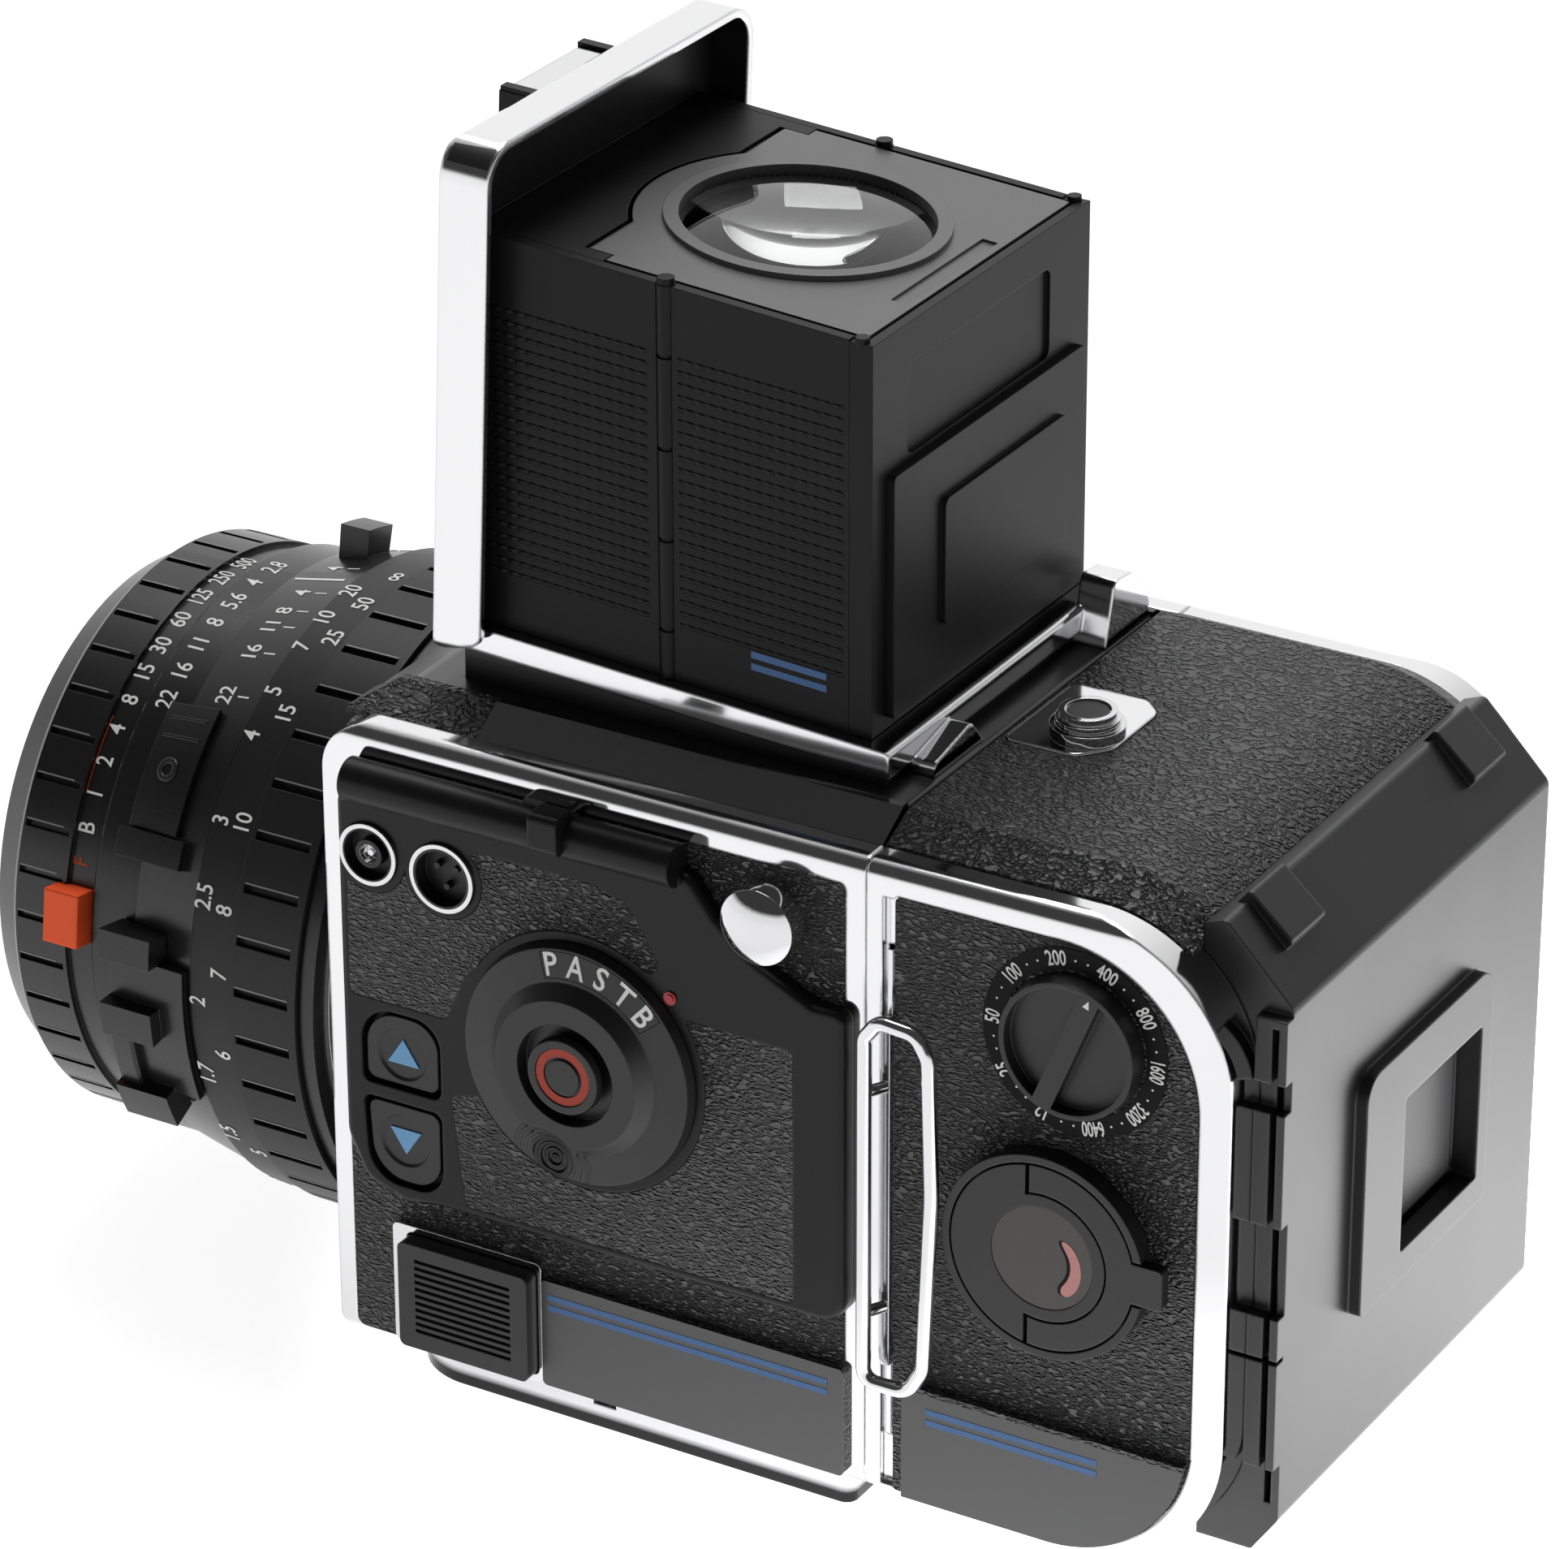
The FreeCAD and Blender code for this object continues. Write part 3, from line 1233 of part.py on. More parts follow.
def magazine_release():
    z = bead_top + cover_rise - bead_rise
    foot = rod("Z", lock_x, lock_y, 1.5, z - 0.45, z + 0.5)
    disc = rod("Z", lock_x, lock_y, lock_radius + 1.0, z + 0.35, z + 1.6)
    step = rod("Z", lock_x, lock_y, lock_radius + 0.4, z + 1.5, z + 2.4)
    cap = rod("Z", lock_x, lock_y, lock_radius, z + 2.3, z + 3.2)
    dish = rod("Z", lock_x, lock_y, lock_radius - 0.7, z + 2.9, z + 4)
    return fuse([foot, disc, step, cap]).cut(dish)


def dark_slide_plate():
    y0, y1 = slide_y - slide_thickness / 2, slide_y + slide_thickness / 2
    plate = box(-slide_reach, side - 0.4, y0, y1, slide_low, slide_high)
    stiffener = box(side - 0.5, side + 0.5, slide_y - 0.5, slide_y + 0.5, handle_low + 1, handle_high - 1)
    return fuse([plate, stiffener])


# The handle is one bent wire: straight runs and round corners in the plane of the side.
def dark_slide_handle():
    y0, y1 = slide_y - 1.3, slide_y + 6.4
    low, high = handle_low, handle_high
    loop = [(y0, low, 1.6), (y0, high - 2.4, 1.6), (y0 + 1.8, high, 1.6), (y1 - 1.4, high - 0.4, 2.0),
            (y1 + 0.1, high - 3.0, 3.0), (y1 + 0.6, low + 24.8, 30.0), (y1 - 0.3, low + 3.4, 3.0),
            (y1 - 2.2, low, 2.4)]
    path = outline(loop, "X", handle_x)
    start = path.Edges[0].valueAt(path.Edges[0].FirstParameter)
    way = path.Edges[0].tangentAt(path.Edges[0].FirstParameter)
    ring = Part.Wire([Part.makeCircle(handle_wire, start, way)])
    wire = path.makePipeShell([ring], True, False)
    arms = []
    for z in (low + 8.4, high - 9.0):
        first = V(side + 0.5, slide_y, z)
        reach = V(handle_x, y0, z).sub(first)
        arms.append(Part.makeCylinder(handle_wire * 0.8, reach.Length, first, reach))
    return fuse([wire] + arms).cut(dark_slide_plate())


def insert_side_panel():
    panel = prism(insert_panel(0.0), "X", side - panel_thickness, side)
    return cut(panel, [rod("X", iso_y, iso_z, spindle + slip, 0, side + 1),
                       rod("X", key_y, key_z, spindle + slip, 0, side + 1)])


def insert_frame():
    inset = 0.9
    radius = insert_corner - inset
    y0, y1 = mag_front + mag_wall + 0.4, insert_back - inset
    z0, z1 = panel_low + 1.3, panel_high - inset
    shape = [(y0, z0, 1), (y1, z0, radius), (y1, z1, radius), (y0, z1, 1)]
    near = prism(shape, "X", near_plate_x, side - panel_thickness)
    far = prism(shape, "X", far_plate_x - plate_thickness, far_plate_x)
    pressure = box(far_plate_x, near_plate_x, y0 + 0.4, y0 + 1.6, lens_z - frame_half - 0.2,
                   lens_z + frame_half + 0.8)
    rails = [box(far_plate_x, near_plate_x, y0 + 1.6, y0 + 5.0, z, z + 1.6)
             for z in (lens_z - 1.2, lens_z + 2.8)]
    pins = []
    for z in (spool_high_z, spool_low_z):
        pins.append(rod("X", spool_y, z, spool_pin, near_plate_x - 3, near_plate_x))
        pins.append(rod("X", spool_y, z, spool_pin, far_plate_x, far_plate_x + 3))
    body = fuse([near, far, pressure] + rails + pins)
    return cut(body, [rod("X", iso_y, iso_z, spindle + slip, near_plate_x + 1.2, side),
                      rod("X", key_y, key_z, spindle + slip, near_plate_x + 1.2, side)])


def film_spool(z):
    x0, x1 = far_plate_x + 0.25, near_plate_x - 0.25
    core = rod("X", spool_y, z, spool_core, x0, x1)
    flanges = [rod("X", spool_y, z, spool_flange, x0, x0 + 1.2),
               rod("X", spool_y, z, spool_flange, x1 - 1.2, x1)]
    slot = box(-frame_half + 4, frame_half - 4, spool_y - 6, spool_y + 6, z - 0.6, z + 0.6)
    return cut(fuse([core] + flanges), [rod("X", spool_y, z, spool_pin + slip, x0 - 1, x0 + 3.2),
                                        rod("X", spool_y, z, spool_pin + slip, x1 - 3.2, x1 + 1), slot])


def insert_trim_plate():
    plate = prism(insert_panel(0.1), "X", side, side + trim_rise)
    return plate.common(box(side - 1, side + 3, insert_front + 1.6, mag_back, 0, trim_high + 0.6))


def iso_dial():
    face = side + 0.05
    disc = taper("X", iso_y, iso_z, iso_radius, iso_radius - 0.3, face, face + iso_rise)
    hollow = rod("X", iso_y, iso_z, iso_radius - 0.9, face + 0.7, face + iso_rise + 1)
    bar = box(face, face + iso_rise + 2, iso_y - iso_bar, iso_y + iso_bar, iso_z - iso_radius,
              iso_z + iso_radius)
    hollow = hollow.cut(bar)
    hollow.rotate(V(0, iso_y, iso_z), V(1, 0, 0), iso_turn)
    stem = rod("X", iso_y, iso_z, spindle, near_plate_x + 1.4, face + 0.5)
    return fuse([disc, stem]).cut(hollow)


def key_tab(grow, low, high):
    return prism(rounded(key_y + key_hub, key_y + key_radius + 2.2 + grow, key_z - tab_width - grow,
                         key_z + tab_width + grow, 0.5), "X", low, high)


def film_key():
    face = side + 0.05
    high = face + key_rise
    base = rod("X", key_y, key_z, key_radius, face, face + key_base)
    hub = rod("X", key_y, key_z, key_hub, face, high)
    rim = tube("X", key_y, key_z, key_radius, key_rim, face, high)
    left = tube("X", key_y, key_z, key_rim - 0.25, key_hub - 1, face, high).common(
        box(face, high, key_y - 20, flap_y - 0.9, key_z - 20, key_z + 20))
    stem = rod("X", key_y, key_z, spindle, near_plate_x + 1.4, face + 0.5)
    pins = [rod("Z", flap_x, flap_y, flap_pin, key_z + a, key_z + b)
            for a, b in ((key_hub - 0.6, key_rim - 0.6), (-key_rim + 0.6, -key_hub + 0.6))]
    notch = key_tab(0.3, face + key_base, high + 1).cut(rod("X", key_y, key_z, key_rim - 0.2, face, high + 2))
    window = rod("X", key_y, key_z, key_window, high - 0.25, high + 1)
    return cut(fuse([base, hub, rim, left, stem] + pins), [notch, window])


def film_key_flap():
    high = side + 0.05 + key_rise
    outer = key_rim - 0.25
    ring = tube("X", key_y, key_z, outer, key_hub + 0.25, flap_low, high).common(
        box(flap_low, high, flap_y - 0.4, key_y + 20, key_z - 20, key_z + 20))
    tab = key_tab(0.0, flap_low, high).cut(rod("X", key_y, key_z, outer - 0.2, flap_low - 1, high + 1))
    body = fuse([ring, tab])
    return body.cut(rod("Z", flap_x, flap_y, flap_pin + slip, key_z - 20, key_z + 20))


def slide_holder():
    outer = [(cover_back, top + 0.2, 0.3), (cover_back + 2.6, top + 1.2, 0.8), (holder_back, top - 7.2, 1.4),
             (holder_back, foot_height + 7.0, 1.4), (mag_back + 0.6, foot_height + 2.6, 0.5),
             (mag_back - 6.0, foot_height + 2.6), (mag_back - 6.0, foot_height + 20),
             (mag_back - 10.0, top - 8)]
    body = prism(outer, "X", -holder_half, holder_half)
    body = body.cut(prism(magazine_profile(0.05), "X", -side, side))
    body = body.cut(magazine_cover_clear())
    low, high = lens_z - 12.7, lens_z + 16.3
    half = window_half + 2.5
    frame = prism([(-half, low, 0.8), (half, low, 0.8), (half, high, 3.0), (-half, high, 3.0)], "Y",
                  holder_back - 0.5, holder_back + 1.5)
    window = prism(rounded(-window_half, window_half - 7.0, low + 3.5, high - 6.5, 0.5), "Y",
                   holder_back - 1.6, holder_back + 3)
    hooks = []
    for x in (peg_x, -peg_x):
        block = prism([(cover_back + 1.2, top + 0.6), (cover_back + 2.6, top + 2.4, 0.5),
                       (holder_back - 2.8, top - 2.3, 0.6), (holder_back - 4.2, top - 4.0)],
                      "X", x - 3.8, x + 3.8)
        hooks.append(block)
    clips = [box(holder_half - 0.2, holder_half + 1.5, holder_back - 3.6, holder_back, lens_z + z0,
                 lens_z + z1)
             for z0, z1 in ((23.3, 30.8), (6.3, 19.8), (-9.7, -4.7), (-23.2, -10.2))]
    pocket = box(-window_half + 1, holder_half + 2, holder_back - 1.7, holder_back - 0.9, slide_low + 1.5,
                 slide_high)
    body = fuse([body, frame] + hooks + clips)
    return cut(body, [window, pocket])


def magazine_cover_clear():
    half = side - bead_width
    return box(-half - 1, half + 1, mag_front, cover_back, top - 6, bead_top + 9)


def group(*shapes):
    return Part.makeCompound(list(shapes))


pieces = {
    "body_shell": body_shell,
    "left_side_panel": lambda: group(left_side_panel(), lower_trim_plate()),
    "right_side_panel": right_side_panel,
    "front_panel": front_panel,
    "foot_plate": foot_plate,
    "threaded_sockets": lambda: group(tripod_bush(), cable_socket()),
    "lens_mount_ring": lens_mount_ring,
    "inner_chassis": lambda: group(mirror_box(), battery_sleeve()),
    "shutter_curtain": lambda: group(shutter_curtain(), shutter_rollers()),
    "reflex_mirror": lambda: group(mirror_glass_plate(), mirror_frame()),
    "focusing_screen": focusing_screen,
    "deck_covers": deck_covers,
    "hood_seat": lambda: group(deck_plate(), hood_seat()),
    "hood_base": hood_base,
    "hood_left_panels": lambda: group(front_wall(1), rear_wall(1), hood_hinge(1)),
    "hood_right_panels": lambda: group(front_wall(-1), rear_wall(-1), hood_hinge(-1)),
    "hood_rear_panels": lambda: group(hood_rear_upper(), hood_rear_lower()),
    "hood_lid": hood_lid,
    "lid_lining": lambda: group(lid_lining(), magnifier_shelf(), catch_bracket()),
    "magnifier_plate": magnifier_plate,
    "magnifier_lens": magnifier_lens,
    "control_housing": control_housing,
    "housing_inlays": housing_inlays,
    "mode_dial": mode_dial,
    "dial_button": dial_button,
    "up_button": lambda: well_button(True),
    "down_button": lambda: well_button(False),
    "ridge_switch": ridge_switch,
    "dial_side_fittings": lambda: group(sync_socket(), winder_socket(), battery_frame()),
    "strap_studs": strap_studs,
    "battery_drawer": battery_drawer,
    "battery_cell": battery_cell,
    "winding_gear": winding_gear,
    "drive_gear": drive_gear,
    "crank_hub": crank_hub,
    "crank_grip": crank_grip,
    "shutter_release": lambda: front_button(release_x, release_z, release_cap, release_proud),
    "lens_release": lambda: front_button(release_x, lens_release_z, lens_release_cap, lens_release_proud),
    "lens_mount": lens_mount,
    "lens_barrel": lens_barrel,
    "focus_ring": focus_ring,
    "front_barrel": front_barrel,
    "aperture_ring": aperture_ring,
    "speed_ring": speed_ring,
    "interlock_tab": interlock_tab,
    "preview_lever": preview_lever,
    "optics_cell": lambda: group(optics_cell(), iris_blades()),
    "lens_glass": lambda: group(front_glass(), rear_glass()),
    "magazine_shell": lambda: group(magazine_shell(), release_plate()),
    "magazine_cover": magazine_cover,
    "magazine_release": magazine_release,
    "dark_slide": lambda: group(dark_slide_plate(), dark_slide_handle()),
    "insert_side_panel": lambda: group(insert_side_panel(), insert_trim_plate()),
    "insert_frame": insert_frame,
    "take_up_spool": lambda: film_spool(spool_high_z),
    "supply_spool": lambda: film_spool(spool_low_z),
    "iso_dial": iso_dial,
    "film_key": film_key,
    "film_key_flap": film_key_flap,
    "slide_holder": slide_holder,
}

os.makedirs("parts", exist_ok=True)
for name, make in pieces.items():
    save(name, make())
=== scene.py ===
import bmesh
import bpy
import json
import math
from mathutils import Matrix, Vector


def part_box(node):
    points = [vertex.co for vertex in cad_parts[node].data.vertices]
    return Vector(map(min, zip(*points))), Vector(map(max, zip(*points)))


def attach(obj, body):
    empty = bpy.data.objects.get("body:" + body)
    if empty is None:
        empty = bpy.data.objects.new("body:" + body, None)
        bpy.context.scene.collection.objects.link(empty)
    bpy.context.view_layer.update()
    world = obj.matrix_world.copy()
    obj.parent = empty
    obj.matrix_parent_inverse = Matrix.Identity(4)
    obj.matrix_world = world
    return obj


# Looks of a medium format film camera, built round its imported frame. Metres, +Z up.
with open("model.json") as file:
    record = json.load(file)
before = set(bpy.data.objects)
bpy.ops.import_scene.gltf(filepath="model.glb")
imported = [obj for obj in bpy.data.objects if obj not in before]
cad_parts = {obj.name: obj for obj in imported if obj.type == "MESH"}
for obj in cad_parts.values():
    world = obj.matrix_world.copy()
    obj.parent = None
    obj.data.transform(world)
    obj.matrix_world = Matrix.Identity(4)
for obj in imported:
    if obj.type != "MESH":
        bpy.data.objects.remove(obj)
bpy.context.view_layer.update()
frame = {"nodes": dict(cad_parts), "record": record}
nodes = frame["nodes"]
mm = 0.001
print("frame loaded:", len(nodes), "nodes")

# What the photograph's camera was, worked out from its perspective
shot = {
    "azimuth": 120.6, "elevation": 26.25, "roll": 0.17,     # degrees
    "focalPixels": 8561.0, "width": 1932.0, "height": 1908.0,
    "aimPixel": (1065.0, 1450.0),                           # body and magazine meet here, in the photo
    "aimPoint": (37.5, 34.35, 42.9),                        # the same place on the object, mm
    "distance": 745.0,                                      # mm from the lens to it
}


def placeCamera():
    a, e = math.radians(shot["azimuth"]), math.radians(shot["elevation"])
    back = Vector((math.sin(a) * math.cos(e), -math.cos(a) * math.cos(e), math.sin(e)))
    right = (-back).cross(Vector((0, 0, 1))).normalized()
    up = right.cross(-back)
    turn = Matrix.Rotation(math.radians(-shot["roll"]), 3, back)
    right, up = turn @ right, turn @ up
    across = (shot["aimPixel"][0] - shot["width"] / 2) / shot["focalPixels"]
    down = (shot["aimPixel"][1] - shot["height"] / 2) / shot["focalPixels"]
    ray = -back + right * across - up * down
    data = bpy.data.cameras.new("photoCamera")
    camera = bpy.data.objects.new("photoCamera", data)
    bpy.context.scene.collection.objects.link(camera)
    place = (Vector(shot["aimPoint"]) - ray * shot["distance"]) * mm
    turned = Matrix((right, up, back)).transposed().to_4x4()
    camera.matrix_world = Matrix.Translation(place) @ turned
    data.sensor_width = 36.0
    data.lens = data.sensor_width * shot["focalPixels"] / shot["width"]
    data.clip_start, data.clip_end = 0.05, 20.0             # metres
    bpy.context.scene.camera = camera


placeCamera()
print("camera placed")


# Shader maths: a Wire is one value, colour or vector on its way through a material
class Wire:
    def __init__(self, finish, socket):
        self.finish = finish
        self.socket = socket

    def math(self, operation, first, second=None):
        values = {0: first} if second is None else {0: first, 1: second}
        return self.finish.add("ShaderNodeMath", {"operation": operation}, values)

    def __add__(self, other):
        return self.math("ADD", self, other)

    def __radd__(self, other):
        return self.math("ADD", other, self)

    def __sub__(self, other):
        return self.math("SUBTRACT", self, other)

    def __rsub__(self, other):
        return self.math("SUBTRACT", other, self)

    def __mul__(self, other):
        return self.math("MULTIPLY", self, other)

    def __truediv__(self, other):
        return self.math("DIVIDE", self, other)

    def __gt__(self, other):
        return self.math("GREATER_THAN", self, other)

    def __lt__(self, other):
        return self.math("LESS_THAN", self, other)

    def __pow__(self, other):
        return self.math("POWER", self, other)

    def above(self, other):
        return self.math("MAXIMUM", self, other)

    def sine(self):
        return self.math("SINE", self)

    def size(self):
        return self.math("ABSOLUTE", self)


class Finish:                                               # one material and its nodes
    def __init__(self, name, **fixed):
        self.material = bpy.data.materials.new(name)
        self.material.use_nodes = True
        self.tree = self.material.node_tree
        self.tree.nodes.clear()
        output = self.tree.nodes.new("ShaderNodeOutputMaterial")
        self.shader = self.tree.nodes.new("ShaderNodeBsdfPrincipled")
        self.tree.links.new(self.shader.outputs[0], output.inputs[0])
        for key, value in fixed.items():
            self.set(key, value)

    def add(self, kind, settings=None, values=None, out=0):
        node = self.tree.nodes.new(kind)
        for key, value in (settings or {}).items():
            if key == "stops":
                self.ramp(node.color_ramp, value)
            else:
                setattr(node, key, value)
        for key, value in (values or {}).items():
            self.plug(node.inputs[key], value)
        return Wire(self, node.outputs[out])

    def ramp(self, ramp, stops):
        while len(ramp.elements) < len(stops):
            ramp.elements.new(1.0)
        for element, (place, colour) in zip(ramp.elements, stops):
            element.position = place
            element.color = (*colour, 1.0)

    def plug(self, socket, value):
        if isinstance(value, Wire):
            self.tree.links.new(value.socket, socket)
        elif isinstance(value, tuple) and len(value) == 3 and socket.type == "RGBA":
            socket.default_value = (*value, 1.0)
        else:
            socket.default_value = value

    def set(self, key, value):
        names = {"colour": "Base Color", "rough": "Roughness", "metal": "Metallic", "ior": "IOR",
                 "coat": "Coat Weight", "coatRough": "Coat Roughness", "through": "Transmission Weight",
                 "glow": "Emission Strength", "glowColour": "Emission Color",
                 "specular": "Specular IOR Level", "normal": "Normal"}
        self.plug(self.shader.inputs[names[key]], value)

    def place(self):                                        # the object's own coordinates, in metres
        return self.add("ShaderNodeTexCoord", out=3)

    def stretch(self, across, turn=(0.0, 0.0, 0.0)):
        return self.add("ShaderNodeMapping", None, {0: self.place(), 2: turn, 3: across})

    def noise(self, scale, detail=2.0, rough=0.5, vector=None):
        values = {"Vector": vector or self.place(), "Scale": scale, "Detail": detail, "Roughness": rough}
        return self.add("ShaderNodeTexNoise", None, values)

    def curve(self, value, *stops):
        grey = [(place, (level, level, level)) for place, level in stops]
        return self.add("ShaderNodeValToRGB", {"stops": grey}, {0: value})

    def blend(self, share, first, second):
        node = self.tree.nodes.new("ShaderNodeMix")
        node.data_type = "RGBA"
        for place, value in ((0, share), (6, first), (7, second)):
            self.plug(node.inputs[place], value)
        return Wire(self, node.outputs[2])

    def soften(self, radius):                               # rounds sharp edges by that many mm
        return self.add("ShaderNodeBevel", {"samples": 6}, {"Radius": radius * mm})

    def bump(self, height, depth, strength, under=None):   # depth in mm
        values = {"Height": height, "Distance": depth * mm, "Strength": strength}
        if under is not None:
            values["Normal"] = under
        return self.add("ShaderNodeBump", None, values)

    def part(self, axis):                                   # one coordinate of the place, in mm
        split = self.add("ShaderNodeSeparateXYZ", None, {0: self.place()}, axis)
        return split * 1000.0


# Finishes. Noise scales are per metre, so a scale of 1000 gives grains of about a millimetre.
chrome = (0.80, 0.80, 0.81)
dustScale = 2600.0


def hillsOf(f, scale, grid, ratio, wide, narrow):           # ground between two crossing sets of creases
    first = f.noise(scale, 1.5, 0.5, grid)
    second = f.noise(scale * ratio, 1.0, 0.5, grid)
    return f.curve((first - 0.5).size(), *wide) * f.curve((second - 0.47).size(), *narrow)


def leatherGrainWithPaintedShade(f):                                        # its height, fine grain and colour; the colour is painted shade, darker in the creases
    look = {"crease": 1650.0, "along": 0.40, "lean": 12.0, "high": (0.029, 0.029, 0.030),
            "deep": (0.001, 0.001, 0.001)}
    grid = f.stretch((1.0, look["along"], 1.0), (math.radians(look["lean"]), 0.0, 0.0))
    wide = ((0.0, 0.0), (0.04, 0.45), (0.13, 1.0))
    narrow = ((0.0, 0.15), (0.02, 0.55), (0.08, 1.0))
    hills = hillsOf(f, look["crease"], grid, 0.72, wide, narrow)
    fine = f.noise(4200.0, 3.0, 0.6)
    # painted shade: deep colours the creases and high the crests
    return hills, fine, f.blend(hills, look["deep"], look["high"])


def leatherFinish():                                        # short wavy creases; smooth low trim plates
    look = {"depth": 0.62, "trimFace": 38.35, "trimTop": 18.6, "trim": (0.026, 0.026, 0.027)}
    f = Finish("grainedLeather", specular=0.85)
    hills, fine, colour = leatherGrainWithPaintedShade(f)
    trim = (f.part(0).size() > look["trimFace"]) * (f.part(2) < look["trimTop"])
    leather = 1.0 - trim
    # the leather's colour carries painted shade in its creases
    f.set("colour", f.blend(trim, colour, look["trim"]))
    f.set("rough", 0.37 - hills * leather * 0.07 + fine * 0.08)
    f.set("normal", f.bump((hills + fine * 0.12) * leather, look["depth"], 0.9))
    return f.material


def coverFinish():                                          # coarse wrinkles with painted shade in them; lacquer on the shoulders
    look = {"wrinkle": 1050.0, "along": 0.6, "lean": 28.0, "depth": 0.42, "high": (0.019, 0.019, 0.021),
            "deep": (0.002, 0.002, 0.002), "paint": (0.005, 0.005, 0.005),
            "from": -17.0, "to": 34.5}                      # the lacquer's reach along the camera
    f = Finish("wrinkledLeather", specular=0.6)
    grid = f.stretch((1.0, look["along"], 1.0), (0.0, 0.0, math.radians(look["lean"])))
    wide = ((0.0, 0.0), (0.03, 0.5), (0.12, 1.0))
    narrow = ((0.0, 0.2), (0.02, 0.6), (0.08, 1.0))
    hills = hillsOf(f, look["wrinkle"], grid, 0.7, wide, narrow)
    fine = f.noise(3600.0, 3.0, 0.6)
    lacquer = (f.part(1) > look["from"]) * (f.part(1) < look["to"])
    leather = 1.0 - lacquer
    # painted shade: the leather's colour darkens from high on the crests to deep in the wrinkles
    f.set("colour", f.blend(lacquer, f.blend(hills, look["deep"], look["high"]), look["paint"]))
    f.set("rough", 0.40 - hills * 0.06 + fine * 0.08 - lacquer * 0.28)
    f.set("normal", f.bump((hills + fine * 0.15) * leather, look["depth"], 0.9))
    return f.material


def magazineFinish():                                       # chrome, with leather set in its far side
    low, high = [[part / mm for part in corner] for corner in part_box("insert_side_panel")]
    inset = {"face": -37.3, "corner": 15.0, "front": low[1], "back": high[1],
             "middle": (low[2] + high[2]) / 2, "half": (high[2] - low[2]) / 2}
    f = Finish("magazineCasting", specular=0.42)
    hills, fine, colour = leatherGrainWithPaintedShade(f)
    x, y, z = f.part(0), f.part(1), f.part(2)
    corner = inset["corner"]
    pastBack = (y - (inset["back"] - corner)).above(0.0)
    pastTop = ((z - inset["middle"]).size() - (inset["half"] - corner)).above(0.0)
    inside = (pastBack ** 2.0 + pastTop ** 2.0) ** 0.5 < corner
    leather = inside * (y > inset["front"]) * (x < inset["face"])
    dust = f.noise(dustScale, 2.0, 0.6)
    f.set("metal", 1.0 - leather)
    # the leather inset's colour carries painted shade in its creases
    f.set("colour", f.blend(leather, chrome, colour))
    f.set("rough", 0.06 + dust * 0.03 + leather * (0.30 + fine * 0.08))
    f.set("normal", f.bump(leather * (hills + fine * 0.12 - 1.0), 0.34, 0.9, f.soften(0.5)))
    return f.material


def chromeFinish(name, colour, rough, softness, brushed=0.0):
    f = Finish(name, colour=colour, metal=1.0)
    cloud = f.noise(90.0, 3.0)
    dust = f.noise(dustScale, 2.0, 0.6, f.stretch((1.0, 0.08, 1.0)))
    f.set("rough", rough + cloud * 0.03 + dust * (0.02 + brushed))
    f.set("normal", f.bump(dust, 0.002 + 0.01 * brushed, 0.4, f.soften(softness)))
    return f.material


def footFinishWithPaintedShade():                                           # bright walls with painted shade: a dark band along the lower edge
    foot = {"wall": (0.62, 0.62, 0.63), "edge": (0.03, 0.03, 0.031)}
    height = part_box("foot_plate")[1][2] / mm
    f = Finish("footMetalWithPaintedShade", metal=1.0)
    # painted shade: the colour darkens to the edge colour towards the foot's bottom
    wall = f.curve(f.part(2) / height, (0.30, 0.0), (0.52, 1.0))
    f.set("colour", f.blend(wall, foot["edge"], foot["wall"]))
    f.set("rough", 0.18 + f.noise(dustScale, 2.0, 0.6) * 0.04)
    f.set("normal", f.soften(0.3))
    return f.material


def satinFinish(name, colour, rough, grain=0.14, depth=0.012, softness=0.2, specular=0.5, coat=0.0):
    f = Finish(name, specular=specular, coat=coat, coatRough=0.18)
    speck = f.noise(1000.0 / grain, 2.0, 0.55)
    cloud = f.noise(60.0, 3.0)
    pale = tuple(min(1.0, part * 1.5 + 0.004) for part in colour)
    f.set("colour", f.blend(cloud, colour, pale))
    f.set("rough", rough - 0.04 + cloud * 0.08 + speck * 0.05)
    f.set("normal", f.bump(speck, depth, 0.6, f.soften(softness)))
    return f.material


def paintFinish(name, colour, rough, specular=0.4):
    f = Finish(name, rough=rough, specular=specular)
    wear = f.noise(1800.0, 2.0)
    f.set("colour", f.blend(wear, colour, tuple(part * 0.82 for part in colour)))
    return f.material


def fittingFinish():                                        # chrome, with black floors in the two sockets
    holes = ({"y": -27.1, "z": 67.0, "bore": 3.2, "post": 1.15},
             {"y": -17.5, "z": 66.5, "bore": 3.6, "post": 0.0})
    rim = 40.2                                              # x of the sockets' rims
    f = Finish("fittingChrome")
    x, y, z = f.part(0), f.part(1), f.part(2)
    black = 0.0
    for hole in holes:
        away = ((y - hole["y"]) ** 2.0 + (z - hole["z"]) ** 2.0) ** 0.5
        black = (away < hole["bore"]) * (away > hole["post"]) * (x < rim) + black
    dust = f.noise(dustScale, 2.0, 0.6)
    f.set("metal", 1.0 - black)
    f.set("colour", f.blend(black, (0.70, 0.70, 0.71), (0.005, 0.005, 0.005)))
    f.set("rough", 0.05 + black * 0.4 + dust * 0.02)
    f.set("normal", f.bump(dust, 0.002, 0.4, f.soften(0.15)))
    return f.material


